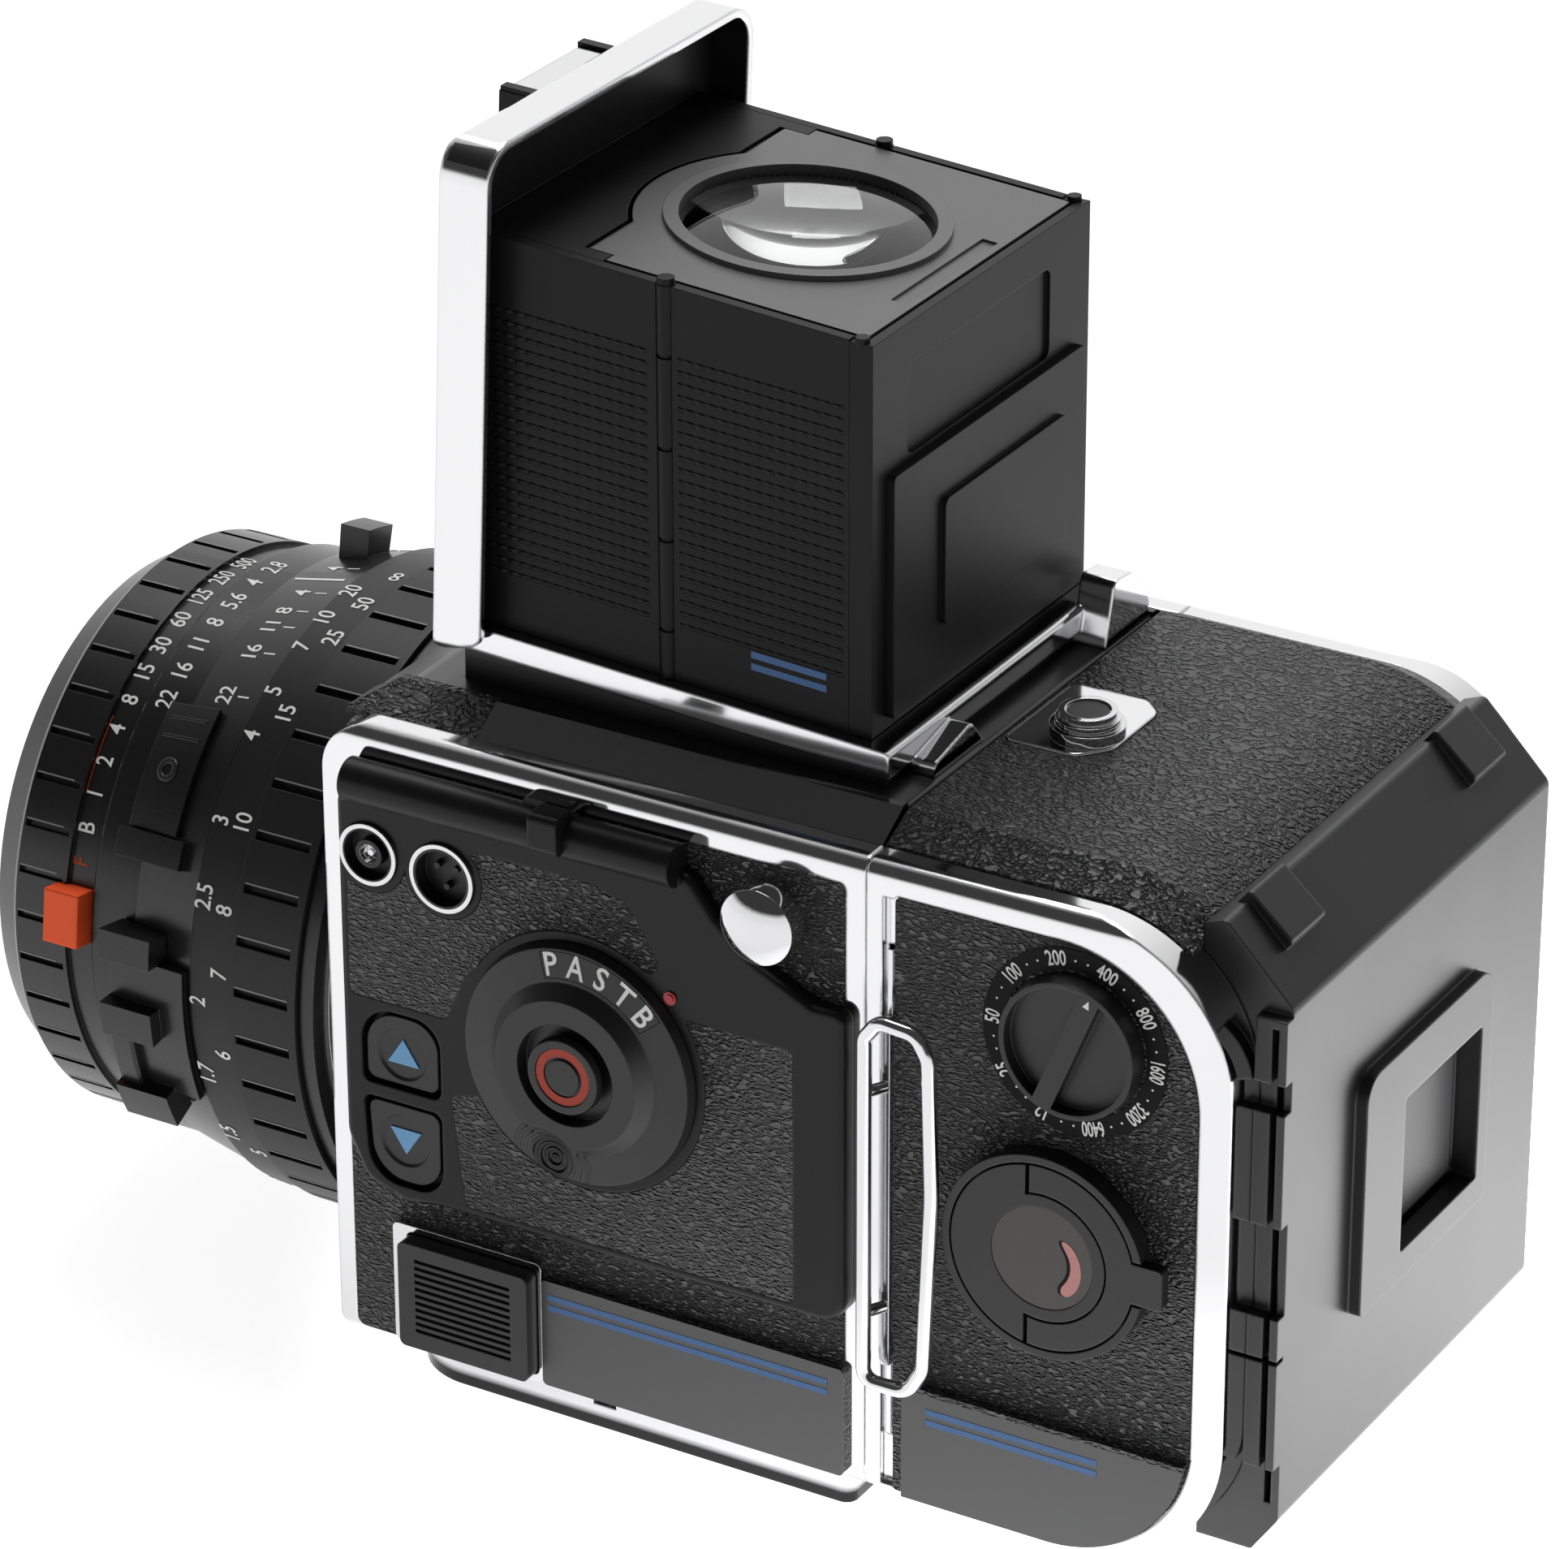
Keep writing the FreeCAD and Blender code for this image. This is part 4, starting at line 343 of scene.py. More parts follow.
def dialFinish():                                           # fine rings cut into the finger scoop
    scoop = {"y": -3.04, "z": 36.2, "reach": 5.2, "pitch": 0.85, "above": 40.0}
    f = Finish("dialPlastic", specular=0.46)
    x, y, z = f.part(0), f.part(1), f.part(2)
    away = ((y - scoop["y"]) ** 2.0 + (z - scoop["z"]) ** 2.0) ** 0.5
    rings = (away * (2 * math.pi / scoop["pitch"])).sine() * (away < scoop["reach"]) * (x > scoop["above"])
    speck = f.noise(8000.0, 2.0, 0.55)
    cloud = f.noise(60.0, 3.0)
    f.set("colour", f.blend(cloud, (0.008, 0.008, 0.009), (0.013, 0.013, 0.014)))
    f.set("rough", 0.30 + cloud * 0.06 + speck * 0.05)
    f.set("normal", f.bump(rings * 16.0 + speck, 0.02, 0.9, f.soften(0.25)))
    return f.material


lidPlace = {"y": -26.05, "z": 87.0, "lean": math.radians(2.5)}  # foot of the lid's front face and its lean


def lidFinish():                                            # chrome, with black lining and front panel
    lid = {"skin": 0.6, "rim": 5.7, "inner": 26.9, "top": 146.2}
    panel = {"deep": 0.3, "half": 24.2, "low": 92.0, "high": 142.4}
    f = Finish("lidMetal")
    x, y, z = f.part(0), f.part(1), f.part(2)
    depth = y - lidPlace["y"] - (z - lidPlace["z"]) * math.tan(lidPlace["lean"])
    inside = (depth > lid["skin"]) * (x.size() < lid["inner"]) * (z < lid["top"])
    rim = depth > lid["rim"]
    front = (depth < panel["deep"]) * (x.size() < panel["half"]) * (z > panel["low"]) * (z < panel["high"])
    black = inside * (1.0 - rim) + front
    dust = f.noise(dustScale, 2.0, 0.6)
    f.set("metal", 1.0 - black)
    f.set("colour", f.blend(black, chrome, (0.010, 0.010, 0.011)))
    f.set("rough", 0.07 + black * 0.33 + dust * 0.03)
    f.set("normal", f.bump(dust * (1.0 + front * 8.0) - front * 10.0, 0.002, 0.4, f.soften(0.7)))
    return f.material


def glassFinish(name, colour, ior):
    f = Finish(name, colour=colour, ior=ior, through=1.0)
    f.set("rough", f.noise(400.0) * 0.01)
    return f.material


def mirrorFinish():
    f = Finish("silveredGlass", metal=1.0, colour=(0.88, 0.89, 0.9))
    f.set("rough", 0.02 + f.noise(300.0) * 0.02)
    return f.material


def screenFinish():
    f = Finish("groundScreen", through=0.35, ior=1.45)
    lines = f.part(0).size() < 0.15
    f.set("colour", f.blend(lines, (0.42, 0.43, 0.44), (0.02, 0.02, 0.02)))
    f.set("rough", 0.35 + f.noise(3000.0) * 0.2)
    return f.material


# After the colour a metal has its roughness, the softness of its edges in mm and its brushing. A satin
# one has its roughness, its grain's size and depth, its edges' softness, all mm, its specular and its coat.
finishes = {
    "polished_casting": lambda: chromeFinish("polishedCasting", chrome, 0.06, 0.5),
    "leatherette": leatherFinish,
    "cover": coverFinish,
    "foot_chrome": footFinishWithPaintedShade,
    "steel": lambda: chromeFinish("turnedSteel", (0.6, 0.6, 0.61), 0.22, 0.1, 0.1),
    "mount_chrome": lambda: chromeFinish("mountChrome", (0.8, 0.8, 0.81), 0.1, 0.15),
    "chamber_black": lambda: satinFinish("chamberPaint", (0.006, 0.006, 0.006), 0.75),
    "shutter_cloth": lambda: satinFinish("shutterCloth", (0.008, 0.008, 0.009), 0.85, 0.25, 0.03),
    "mirror_glass": mirrorFinish,
    "screen_plastic": screenFinish,
    "deck_black": lambda: satinFinish("deckPaint", (0.010, 0.010, 0.011), 0.3, softness=0.3, coat=0.2),
    "hood_chrome": lambda: chromeFinish("hoodFrameMetal", chrome, 0.07, 0.5),
    "hood_black": lambda: satinFinish("hoodPaint", (0.006, 0.006, 0.0065),
                                      0.36, 0.12, 0.008, 0.16, 0.15),
    "plate_black": lambda: satinFinish("platePaint", (0.060, 0.060, 0.063),
                                       0.34, 0.12, 0.008, 0.16, 0.7),
    "lid_chrome": lidFinish,
    "magnifier_glass": lambda: glassFinish("magnifierGlass", (0.97, 0.98, 0.98), 1.52),
    "housing_black": lambda: satinFinish("housingPlastic", (0.005, 0.005, 0.0055),
                                         0.30, 0.11, 0.010, 0.45, 0.22),
    "dial_black": dialFinish,
    "button_black": lambda: satinFinish("buttonPlastic", (0.013, 0.013, 0.014),
                                        0.34, 0.12, 0.008, 0.25, 0.4),
    "fitting_chrome": fittingFinish,
    "cell_steel": lambda: chromeFinish("cellSteel", (0.6, 0.6, 0.6), 0.25, 0.2, 0.1),
    "gear_brass": lambda: chromeFinish("gearBrass", (0.72, 0.52, 0.22), 0.25, 0.05, 0.08),
    "crank_black": lambda: satinFinish("crankPaint", (0.012, 0.012, 0.013), 0.34, softness=0.35),
    "barrel_black": lambda: satinFinish("barrelAnodising", (0.006, 0.006, 0.0065),
                                        0.25, 0.1, 0.006, 0.12, 0.5),
    "rubber_grip": lambda: satinFinish("gripRubber", (0.009, 0.009, 0.009), 0.38, 0.2, 0.012, 0.2, 0.28),
    "tab_orange": lambda: satinFinish("tabPaint", (0.84, 0.085, 0.02), 0.4, 0.2, 0.01, 0.45, 0.2),
    "magazine_casting": magazineFinish,
    "lens_glass": lambda: glassFinish("coatedGlass", (0.42, 0.46, 0.60), 1.22),
    "slide_steel": lambda: chromeFinish("slideSteel", (0.74, 0.74, 0.75), 0.10, 0.15),
    "insert_metal": lambda: chromeFinish("insertAluminium", (0.55, 0.55, 0.56), 0.3, 0.2, 0.05),
    "spool_black": lambda: satinFinish("spoolPlastic", (0.012, 0.012, 0.012), 0.5),
    "holder_black": lambda: satinFinish("holderPlastic", (0.010, 0.010, 0.011),
                                        0.30, 0.1, 0.005, 0.4, 0.55),
}


def dressNodes():
    made = {}
    other = {                                               # nodes whose finish isn't their slot's
        "deck_covers": "cover", "magazine_cover": "cover", "magnifier_plate": "plate_black",
        "magazine_shell": "magazine_casting", "battery_drawer": "button_black",
    }
    for row in frame["record"]["subparts"]:
        slot = other.get(row["node"], row["material_slot"])
        if slot not in made:
            made[slot] = finishes[slot]()
        piece = nodes[row["node"]]
        piece.data.materials.clear()
        piece.data.materials.append(made[slot])
    return made


dressed = dressNodes()
print("finishes on", len(nodes), "nodes")


# Marks: figures, lines and small trims, raised a little from the surface that carries them
class Marks:
    def __init__(self, low=-0.05, high=0.06):
        self.points = []
        self.faces = []
        self.low = low
        self.high = high

    def levels(self, low, high):
        return (self.low if low is None else low, self.high if high is None else high)

    def solid(self, outline, lay, low=None, high=None):     # a flat outline raised between two levels
        start, count = len(self.points), len(outline)
        for level in self.levels(low, high):
            self.points.extend(lay(u, v, level) for u, v in outline)
        self.faces.append(tuple(start + i for i in reversed(range(count))))
        self.faces.append(tuple(start + count + i for i in range(count)))
        for i in range(count):
            j = (i + 1) % count
            self.faces.append((start + i, start + j, start + count + j, start + count + i))

    def loops(self, rows, closed=False):                    # skins a chain of equal rings of points
        start, count = len(self.points), len(rows[0])
        for row in rows:
            self.points.extend(row)
        last = len(rows) if closed else len(rows) - 1
        for i in range(last):
            for k in range(count):
                a, b = start + i * count, start + (i + 1) % len(rows) * count
                self.faces.append((a + k, a + (k + 1) % count, b + (k + 1) % count, b + k))
        if not closed:
            self.faces.append(tuple(start + k for k in reversed(range(count))))
            self.faces.append(tuple(start + (len(rows) - 1) * count + k for k in range(count)))

    def bar(self, lay, u0, u1, v0, v1, steps=1, low=None, high=None):
        low, high = self.levels(low, high)
        rows = []
        for i in range(steps + 1):
            u = u0 + (u1 - u0) * i / steps
            rows.append([lay(u, v, w) for v, w in ((v0, low), (v1, low), (v1, high), (v0, high))])
        self.loops(rows)

    def band(self, lay, inner, outer, steps=72):
        corners = ((inner, self.low), (outer, self.low), (outer, self.high), (inner, self.high))
        rows = []
        for i in range(steps):
            turn = 2 * math.pi * i / steps
            c, s = math.cos(turn), math.sin(turn)
            rows.append([lay(r * c, r * s, w) for r, w in corners])
        self.loops(rows, closed=True)

    def disc(self, lay, radius, low=None, high=None, steps=24):
        turns = [2 * math.pi * i / steps for i in range(steps)]
        self.solid([(radius * math.cos(turn), radius * math.sin(turn)) for turn in turns], lay, low, high)

    def text(self, words, height, lay, squeeze=0.92, bold=0.0):
        curve = bpy.data.curves.new("figure", "FONT")
        curve.body = words
        curve.size = height / 0.72                          # a capital's height is 0.72 of the font's size
        curve.align_x, curve.align_y = "CENTER", "CENTER"
        curve.resolution_u = 3
        curve.offset = bold
        curve.extrude = (self.high - self.low) / 2
        drawn = bpy.data.objects.new("figure", curve)
        mesh = bpy.data.meshes.new_from_object(drawn)
        start, centre = len(self.points), (self.high + self.low) / 2
        self.points.extend(lay(v.co.x * squeeze, v.co.y, v.co.z + centre) for v in mesh.vertices)
        self.faces.extend(tuple(start + i for i in face.vertices) for face in mesh.polygons)
        bpy.data.objects.remove(drawn)
        bpy.data.curves.remove(curve)
        bpy.data.meshes.remove(mesh)

    def piece(self, name, finish, body, slot):              # joins corners that lie within 0.0015 mm
        mesh = bpy.data.meshes.new(name)
        mesh.from_pydata([[part * mm for part in point] for point in self.points], [], self.faces)
        shape = bmesh.new()
        shape.from_mesh(mesh)
        bmesh.ops.remove_doubles(shape, verts=shape.verts, dist=0.0015 * mm)
        bmesh.ops.recalc_face_normals(shape, faces=shape.faces)
        shape.to_mesh(mesh)
        shape.free()
        made = bpy.data.objects.new(name, mesh)
        bpy.context.scene.collection.objects.link(made)
        mesh.materials.append(finish)
        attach(made, body)


def middleOf(node):                                         # centre of a node's box, mm
    low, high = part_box(node)
    return [(a + b) / 2 / mm for a, b in zip(low, high)]


def outerX(node):
    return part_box(node)[1][0] / mm


lensAxis = middleOf("speed_ring")[2]
sideFace = outerX("body_shell")
housingFace = sideFace + 2.0                                # the control housing stands 2 mm proud


# Where a mark lies: each lay turns (u, v, w) into a place in mm, with w out of the surface
def ringLay(radius, y, degrees, flare=0.0):                 # on the lens: u goes round it, v to its front
    def lay(u, v, w):
        r = radius + w - flare * v
        turn = math.radians(degrees) + u / radius
        return (r * math.cos(turn), y - v, lensAxis + r * math.sin(turn))
    return lay


def faceLay(x, y, z, side=1.0, slope=0.0):                  # on a side wall: u along it, v up
    def lay(u, v, w):
        along = y + side * u
        return (side * (x + w), along, z + v - slope * along)
    return lay


def dialLay(x, y, z, radius, degrees, slope=0.0):           # round a dial: u clockwise, v outwards
    def lay(u, v, w):
        turn = math.radians(degrees) - u / radius
        r = radius + v
        return (x + w - slope * v, y + r * math.cos(turn), z + r * math.sin(turn))
    return lay


def backLay(x, y, z):                                       # on the rear face: u to -X, v up
    def lay(u, v, w):
        return (x - u, y + w, z + v)
    return lay


def topLay(x, y, z):                                        # on a top face: u to +X, v to the back
    def lay(u, v, w):
        return (x + u, y + v, z + w)
    return lay


paints = {
    "white": paintFinish("whiteFigures", (0.84, 0.84, 0.83), 0.5),
    # edge: a painted highlight for the lens rings' slot edges
    "edge": paintFinish("paintedEdgeHighlight", (0.20, 0.20, 0.205), 0.35, 0.6),
    "orange": paintFinish("orangeFigures", (0.50, 0.065, 0.015), 0.5, 0.2),
    "stripe": paintFinish("stripeBlue", (0.062, 0.15, 0.34), 0.45, 0.3),
    "sky": paintFinish("arrowBlue", (0.15, 0.38, 0.66), 0.35),
    "coral": paintFinish("coralRing", (0.40, 0.055, 0.034), 0.45, 0.2),
    "red": paintFinish("redDot", (0.42, 0.006, 0.016), 0.2, 0.6),
    "pink": paintFinish("windowPink", (0.55, 0.24, 0.23), 0.3),
    "smoke": paintFinish("windowSmoke", (0.055, 0.048, 0.046), 0.32, 0.5),
    "black": paintFinish("markBlack", (0.003, 0.003, 0.003), 0.45, 0.12),
    "card": paintFinish("memoCard", (0.10, 0.10, 0.104), 0.45, 0.4),
}


# The lens's engraved scales
def markLens():
    rows = {                                                # radius, y and flare of each row of figures
        "speed": (34.3, -71.5, 0.0), "aperture": (35.5, -66.2, 0.0), "fixed": (36.83, -58.4, 0.209),
        "metres": (38.36, -51.9, 0.053), "feet": (38.52, -48.9, 0.053),
    }
    figure = {"height": 2.25, "bold": 0.022, "squeeze": 0.8, "squeezeLong": 0.66}
    tab = {"from": 97.0, "to": 108.0}                       # where the finger tab stands, in degrees
    index = {"angle": 86.5, "half": 0.22, "from": -3.6, "to": 3.4}
    tick = {"half": 0.09, "from": -3.4, "to": -1.75}
    # figures and their places round the lens, in degrees
    speeds = {"500": 92.6, "250": 85.2, "125": 77.7, "60": 70.5, "30": 63.3, "15": 56.6, "8": 50.4,
              "4": 44.1, "2": 37.5, "1": 31.0, "B": 24.3}
    apertures = {"2.8": 90.3, "4": 83.5, "5.6": 76.8, "8": 70.3, "11": 64.4, "16": 57.9, "22": 51.6}
    fixed = {"22": 54.5, "16": 64.2, "11": 70.9, "8": 75.4, "4": 81.3}
    metres = {"20": 82.2, "10": 73.8, "7": 66.4, "5": 56.5, "4": 47.7, "3": 32.4, "2.5": 19.2, "2": 0.5,
              "1.7": -14.5, "1.5": -30.0, "1.3": -52.0}
    feet = {"\u221e": 89.4, "50": 79.3, "25": 69.7, "15": 52.8, "10": 32.8, "8": 17.8, "7": 6.5,
            "6": -8.9, "5": -34.0}

    def at(row, angle):
        radius, y, flare = rows[row]
        return ringLay(radius, y, angle, flare)

    def write(made, words, row, angle, height=figure["height"]):
        squeeze = figure["squeezeLong"] if row == "speed" and len(words) > 2 else figure["squeeze"]
        made.text(words, height, at(row, angle), squeeze, figure["bold"])

    made = Marks()
    for words, angle in speeds.items():
        write(made, words, "speed", angle)
    made.piece("speedFigures", paints["white"], "speed_ring", "barrel_black")
    made = Marks()
    write(made, "F", "speed", 17.6, figure["height"] * 0.9)
    line = {"y": rows["speed"][1] - 1.25, "angle": speeds["1"], "length": 9.3, "half": 0.05}
    lay = ringLay(rows["speed"][0], line["y"], line["angle"])
    made.bar(lay, 0.0, line["length"], -line["half"], line["half"], 16)
    made.piece("speedOrangeMarks", paints["orange"], "speed_ring", "barrel_black")
    made = Marks()
    for words, angle in apertures.items():
        write(made, words, "aperture", angle)
    made.piece("apertureFigures", paints["white"], "aperture_ring", "barrel_black")
    made = Marks()
    for words, angle in fixed.items():
        for turn in (angle, 2 * index["angle"] - angle):
            if not tab["from"] < turn < tab["to"]:
                write(made, words, "fixed", turn)
                made.bar(at("fixed", turn), -tick["half"], tick["half"], tick["from"], tick["to"])
    made.bar(at("fixed", index["angle"]), -index["half"], index["half"], index["from"], index["to"])
    made.piece("depthFigures", paints["white"], "front_barrel", "barrel_black")
    made = Marks()
    for words, angle in metres.items():
        write(made, words, "metres", angle)
    for words, angle in feet.items():
        write(made, words, "feet", angle)
    made.piece("distanceFigures", paints["white"], "focus_ring", "rubber_grip")


def addPaintedRibHighlights():                                          # painted highlights: light strips beside the grip slots, where their edges catch the light
    slots = 40
    edge = {"from": 0.02, "to": 0.2}                        # how far past a slot's side an edge reaches
    rings = {
        "speed": {"radius": 34.9, "half": 0.4, "front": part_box("speed_ring")[0][1] / mm + 0.95,
                  "back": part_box("interlock_tab")[0][1] / mm - 0.1},
        "focus": {"radius": 38.9, "half": 0.5, "front": -46.6,
                  "back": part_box("focus_ring")[1][1] / mm - 1.05},
    }
    for name, ring in rings.items():
        made = Marks(-0.05, 0.04)
        near, far = ring["half"] + edge["from"], ring["half"] + edge["to"]
        for i in range(slots):
            lay = ringLay(ring["radius"], 0.0, 360.0 * (i + 0.5) / slots)
            made.bar(lay, near, far, -ring["back"], -ring["front"])
        made.piece(name + "RibEdges", paints["edge"], name + "_ring", "barrel_black")


def addLensLatch():                                         # a small plate with two ribs and a screw
    latch = {"radius": 36.83, "y": -58.4, "flare": 0.209, "front": -65.0, "back": -57.6, "from": 27.5,
             "to": 51.0, "low": 0.18, "high": 0.75}
    rib = {"angles": (48.2, 44.6), "half": 0.16, "rise": 0.12, "backInset": 1.0, "frontInset": 0.8}
    screw = {"angle": 38.5, "y": -61.6, "radius": 1.45, "socket": 0.72, "rise": 0.16, "floor": -0.02}
    sunk = 0.1                                              # how deep ribs and screw sit in the plate
    made = Marks(latch["low"], latch["high"])
    lay = ringLay(latch["radius"], latch["y"], 0.0, latch["flare"])
    reach = math.radians(1.0) * latch["radius"]             # mm of arc in a degree
    v0, v1 = latch["y"] - latch["back"], latch["y"] - latch["front"]
    made.bar(lay, latch["from"] * reach, latch["to"] * reach, v0, v1, 20)
    for angle in rib["angles"]:
        u = angle * reach
        made.bar(lay, u - rib["half"], u + rib["half"], v0 + rib["backInset"], v1 - rib["frontInset"], 1,
                 latch["high"] - sunk, latch["high"] + rib["rise"])
    made.piece("lensLatch", dressed["barrel_black"], "front_barrel", "barrel_black")
    made = Marks(latch["high"] - sunk, latch["high"] + screw["rise"])
    seat = ringLay(latch["radius"], latch["y"], screw["angle"], latch["flare"])

    def screwLay(u, v, w):
        return seat(u, v + latch["y"] - screw["y"], w)

    made.band(screwLay, screw["socket"], screw["radius"], steps=32)
    made.disc(screwLay, screw["socket"] + 0.03, None, latch["high"] + screw["floor"], steps=6)
    made.piece("lensLatchScrew", dressed["holder_black"], "front_barrel", "barrel_black")


def addLeverBridge():                                       # raised bar between the lever's two lower pads
    bridge = {"radius": 38.3, "from": -22.0, "to": -4.0, "front": -64.1, "back": -61.0, "low": -0.2,
              "high": 1.45, "bevel": 0.35, "steps": 16}
    lay = ringLay(bridge["radius"], 0.0, 0.0)
    reach = math.radians(1.0) * bridge["radius"]
    low, high, bevel = bridge["low"], bridge["high"], bridge["bevel"]
    v0, v1 = -bridge["back"], -bridge["front"]
    outline = ((v0, low), (v1, low), (v1, high - bevel), (v1 - bevel, high), (v0 + bevel, high),
               (v0, high - bevel))
    rows = []
    for i in range(bridge["steps"] + 1):
        u = (bridge["from"] + (bridge["to"] - bridge["from"]) * i / bridge["steps"]) * reach
        rows.append([lay(u, v, w) for v, w in outline])
    made = Marks()
    made.loops(rows)
    made.piece("leverBridge", dressed["barrel_black"], "preview_lever", "barrel_black")


# Controls on the dial side
def markControls():
    x, y, z = middleOf("mode_dial")
    dial = {"radius": 12.35, "face": housingFace + 1.66, "slope": 0.143, "letter": 2.7, "bold": 0.05}
    letters = {"P": 103.0, "A": 88.0, "S": 73.0, "T": 58.5, "B": 44.5}
    window = {"angle": letters["S"], "half": 7.6, "tall": 1.55, "line": 0.08}

    def onDial(angle):
        return dialLay(dial["face"], y, z, dial["radius"], angle, dial["slope"])

    made = Marks(-0.04, 0.07)
    for words, angle in letters.items():
        made.text(words, dial["letter"], onDial(angle), bold=dial["bold"])
    made.piece("modeLetters", paints["white"], "mode_dial", "dial_black")
    made = Marks(-0.05, 0.03)
    lay = onDial(window["angle"])
    half, tall, line = window["half"], window["tall"], window["line"]
    made.bar(lay, -half, half, -tall, line - tall, 24)
    made.bar(lay, -half, half, tall - line, tall, 24)
    made.bar(lay, -half, line - half, -tall, tall)
    made.bar(lay, half - line, half, -tall, tall)
    made.piece("modeWindow", paints["black"], "mode_dial", "dial_black")
    dot = {"y": 11.4, "z": 59.4, "radius": 0.78, "rise": 0.22, "crown": 0.5, "crownRise": 0.36}
    lay = faceLay(housingFace, dot["y"], dot["z"])
    made = Marks(-0.2, dot["rise"])
    made.disc(lay, dot["radius"])
    made.disc(lay, dot["crown"], dot["rise"] - 0.02, dot["crownRise"])
    made.piece("modeIndexDot", paints["red"], "body", "housing_black")
    ring = {"inner": 2.45, "outer": 3.4, "low": -0.34, "high": -0.1}
    made = Marks(ring["low"], ring["high"])
    made.band(faceLay(outerX("dial_button"), y, z), ring["inner"], ring["outer"])
    made.piece("dialButtonRing", paints["coral"], "dial_button", "button_black")
    arrow = {"half": 2.05, "tall": 3.1, "floor": housingFace - 0.6, "lower": 0.2}
    for name, way in (("up", 1), ("down", -1)):
        x, y, z = middleOf(name + "_button")
        made = Marks(-0.03, 0.16)
        foot, tip = -way * arrow["tall"] / 2, way * arrow["tall"] / 2
        lay = faceLay(arrow["floor"], y, z - arrow["lower"] * way)
        made.solid([(-arrow["half"], foot), (arrow["half"], foot), (0.0, tip)], lay)
        made.piece(name + "Arrow", paints["sky"], name + "_button", "button_black")


def markFilmSpeeds():                                       # round the film speed dial
    x, y, z = middleOf("iso_dial")
    label = {"inner": 8.5, "outer": 10.95, "figures": 9.72, "height": 1.75, "first": 104.0, "bold": 0.03}
    pointer = {"radius": 6.7, "angle": 68.0, "half": 0.42, "foot": -0.45, "tip": 0.5}
    dot = {"radius": 0.13, "shift": 0.38}                   # the shift is in steps of the scale
    figures = ["200", "400", "800", "1600", "3200", "6400", "12", "25", "50", "100"]
    step = 360.0 / len(figures)
    made = Marks(-0.03, 0.10)
    made.band(faceLay(sideFace, y, z), label["inner"], label["outer"], steps=96)
    made.piece("filmSpeedLabel", paints["black"], "film_insert", "leatherette")

    def onLabel(angle):
        return dialLay(sideFace, y, z, label["figures"], angle)

    made = Marks(0.06, 0.16)
    for i, words in enumerate(figures):
        angle = label["first"] - step * i
        squeeze = 0.56 if len(words) > 3 else 0.66
        made.text(words, label["height"], onLabel(angle), squeeze, label["bold"])
        for side in (-1, 1):
            made.disc(onLabel(angle + side * step * dot["shift"]), dot["radius"], steps=10)
    made.piece("filmSpeedFigures", paints["white"], "film_insert", "leatherette")
    made = Marks(-0.05, 0.07)
    lay = dialLay(outerX("iso_dial"), y, z, pointer["radius"], pointer["angle"])
    half, foot = pointer["half"], pointer["foot"]
    made.solid([(-half, foot), (half, foot), (0.0, pointer["tip"])], lay)
    made.piece("filmSpeedPointer", paints["white"], "iso_dial", "dial_black")


def addKeyWindow():                                         # smoked window with a crescent and its shade
    x, y, z = middleOf("film_key")
    face = outerX("film_key")
    glass = {"radius": 6.05, "low": -0.30, "high": -0.06}
    sign = {"y": y + 0.3, "z": z - 0.5, "radius": 3.8, "half": 0.78, "sweep": 56.0, "steps": 28}
    shade = {"shift": -0.35, "wider": 1.15}
    made = Marks(glass["low"], glass["high"])
    made.disc(faceLay(face, y, z), glass["radius"], steps=64)
    made.piece("keyWindow", paints["smoke"], "film_key", "dial_black")

    def crescent(name, paint, shift, half, low, high):      # an arc that narrows to round ends
        lay = faceLay(face, sign["y"] + shift, sign["z"])
        rows = []
        for i in range(sign["steps"] + 1):
            t = 2 * i / sign["steps"] - 1
            turn = math.radians(sign["sweep"] * t)
            wide = half * (1.02 - t ** 6) ** 0.5 * (0.8 - 0.2 * t)
            c, s = math.cos(turn), math.sin(turn)
            inner, outer = sign["radius"] - wide, sign["radius"] + wide
            corners = ((inner, low), (outer, low), (outer, high), (inner, high))
            rows.append([lay(r * c, r * s, w) for r, w in corners])
        made = Marks()
        made.loops(rows)
        made.piece(name, paint, "film_key", "dial_black")

    crescent("keySignShade", paints["black"], shade["shift"], sign["half"] * shade["wider"], -0.09, -0.035)
    crescent("keySign", paints["pink"], 0.0, sign["half"], -0.08, -0.01)


# Blue stripes in pairs: their heights z, reach along the wall, half height, and slope towards the back
def addStripes():
    trim = sideFace + 1.0
    rows = {
        "bodyStripes": {"x": trim, "z": (16.6, 15.3), "from": -5.7, "to": 30.3, "half": 0.36, "lean": 0.0,
                        "rise": 0.05, "steps": 4, "body": "body", "slot": "leatherette"},
        "magazineStripes": {"x": trim, "z": (16.6, 15.3), "from": 42.6, "to": 63.6, "half": 0.36,
                            "lean": 0.0, "rise": 0.05, "steps": 3, "body": "film_insert",
                            "slot": "leatherette"},
        "hoodStripes": {"x": 23.75, "z": (94.7, 93.3), "from": 12.35, "to": 21.65, "half": 0.4,
                        "lean": 0.053, "rise": 0.06, "steps": 2, "body": "body", "slot": "hood_black"},
    }
    for name, row in rows.items():
        made = Marks(-0.04, row["rise"])
        for z in row["z"]:
            lay = faceLay(row["x"], 0.0, z, 1.0, row["lean"])
            made.bar(lay, row["from"], row["to"], -row["half"], row["half"], row["steps"])
        made.piece(name, paints["stripe"], row["body"], row["slot"])


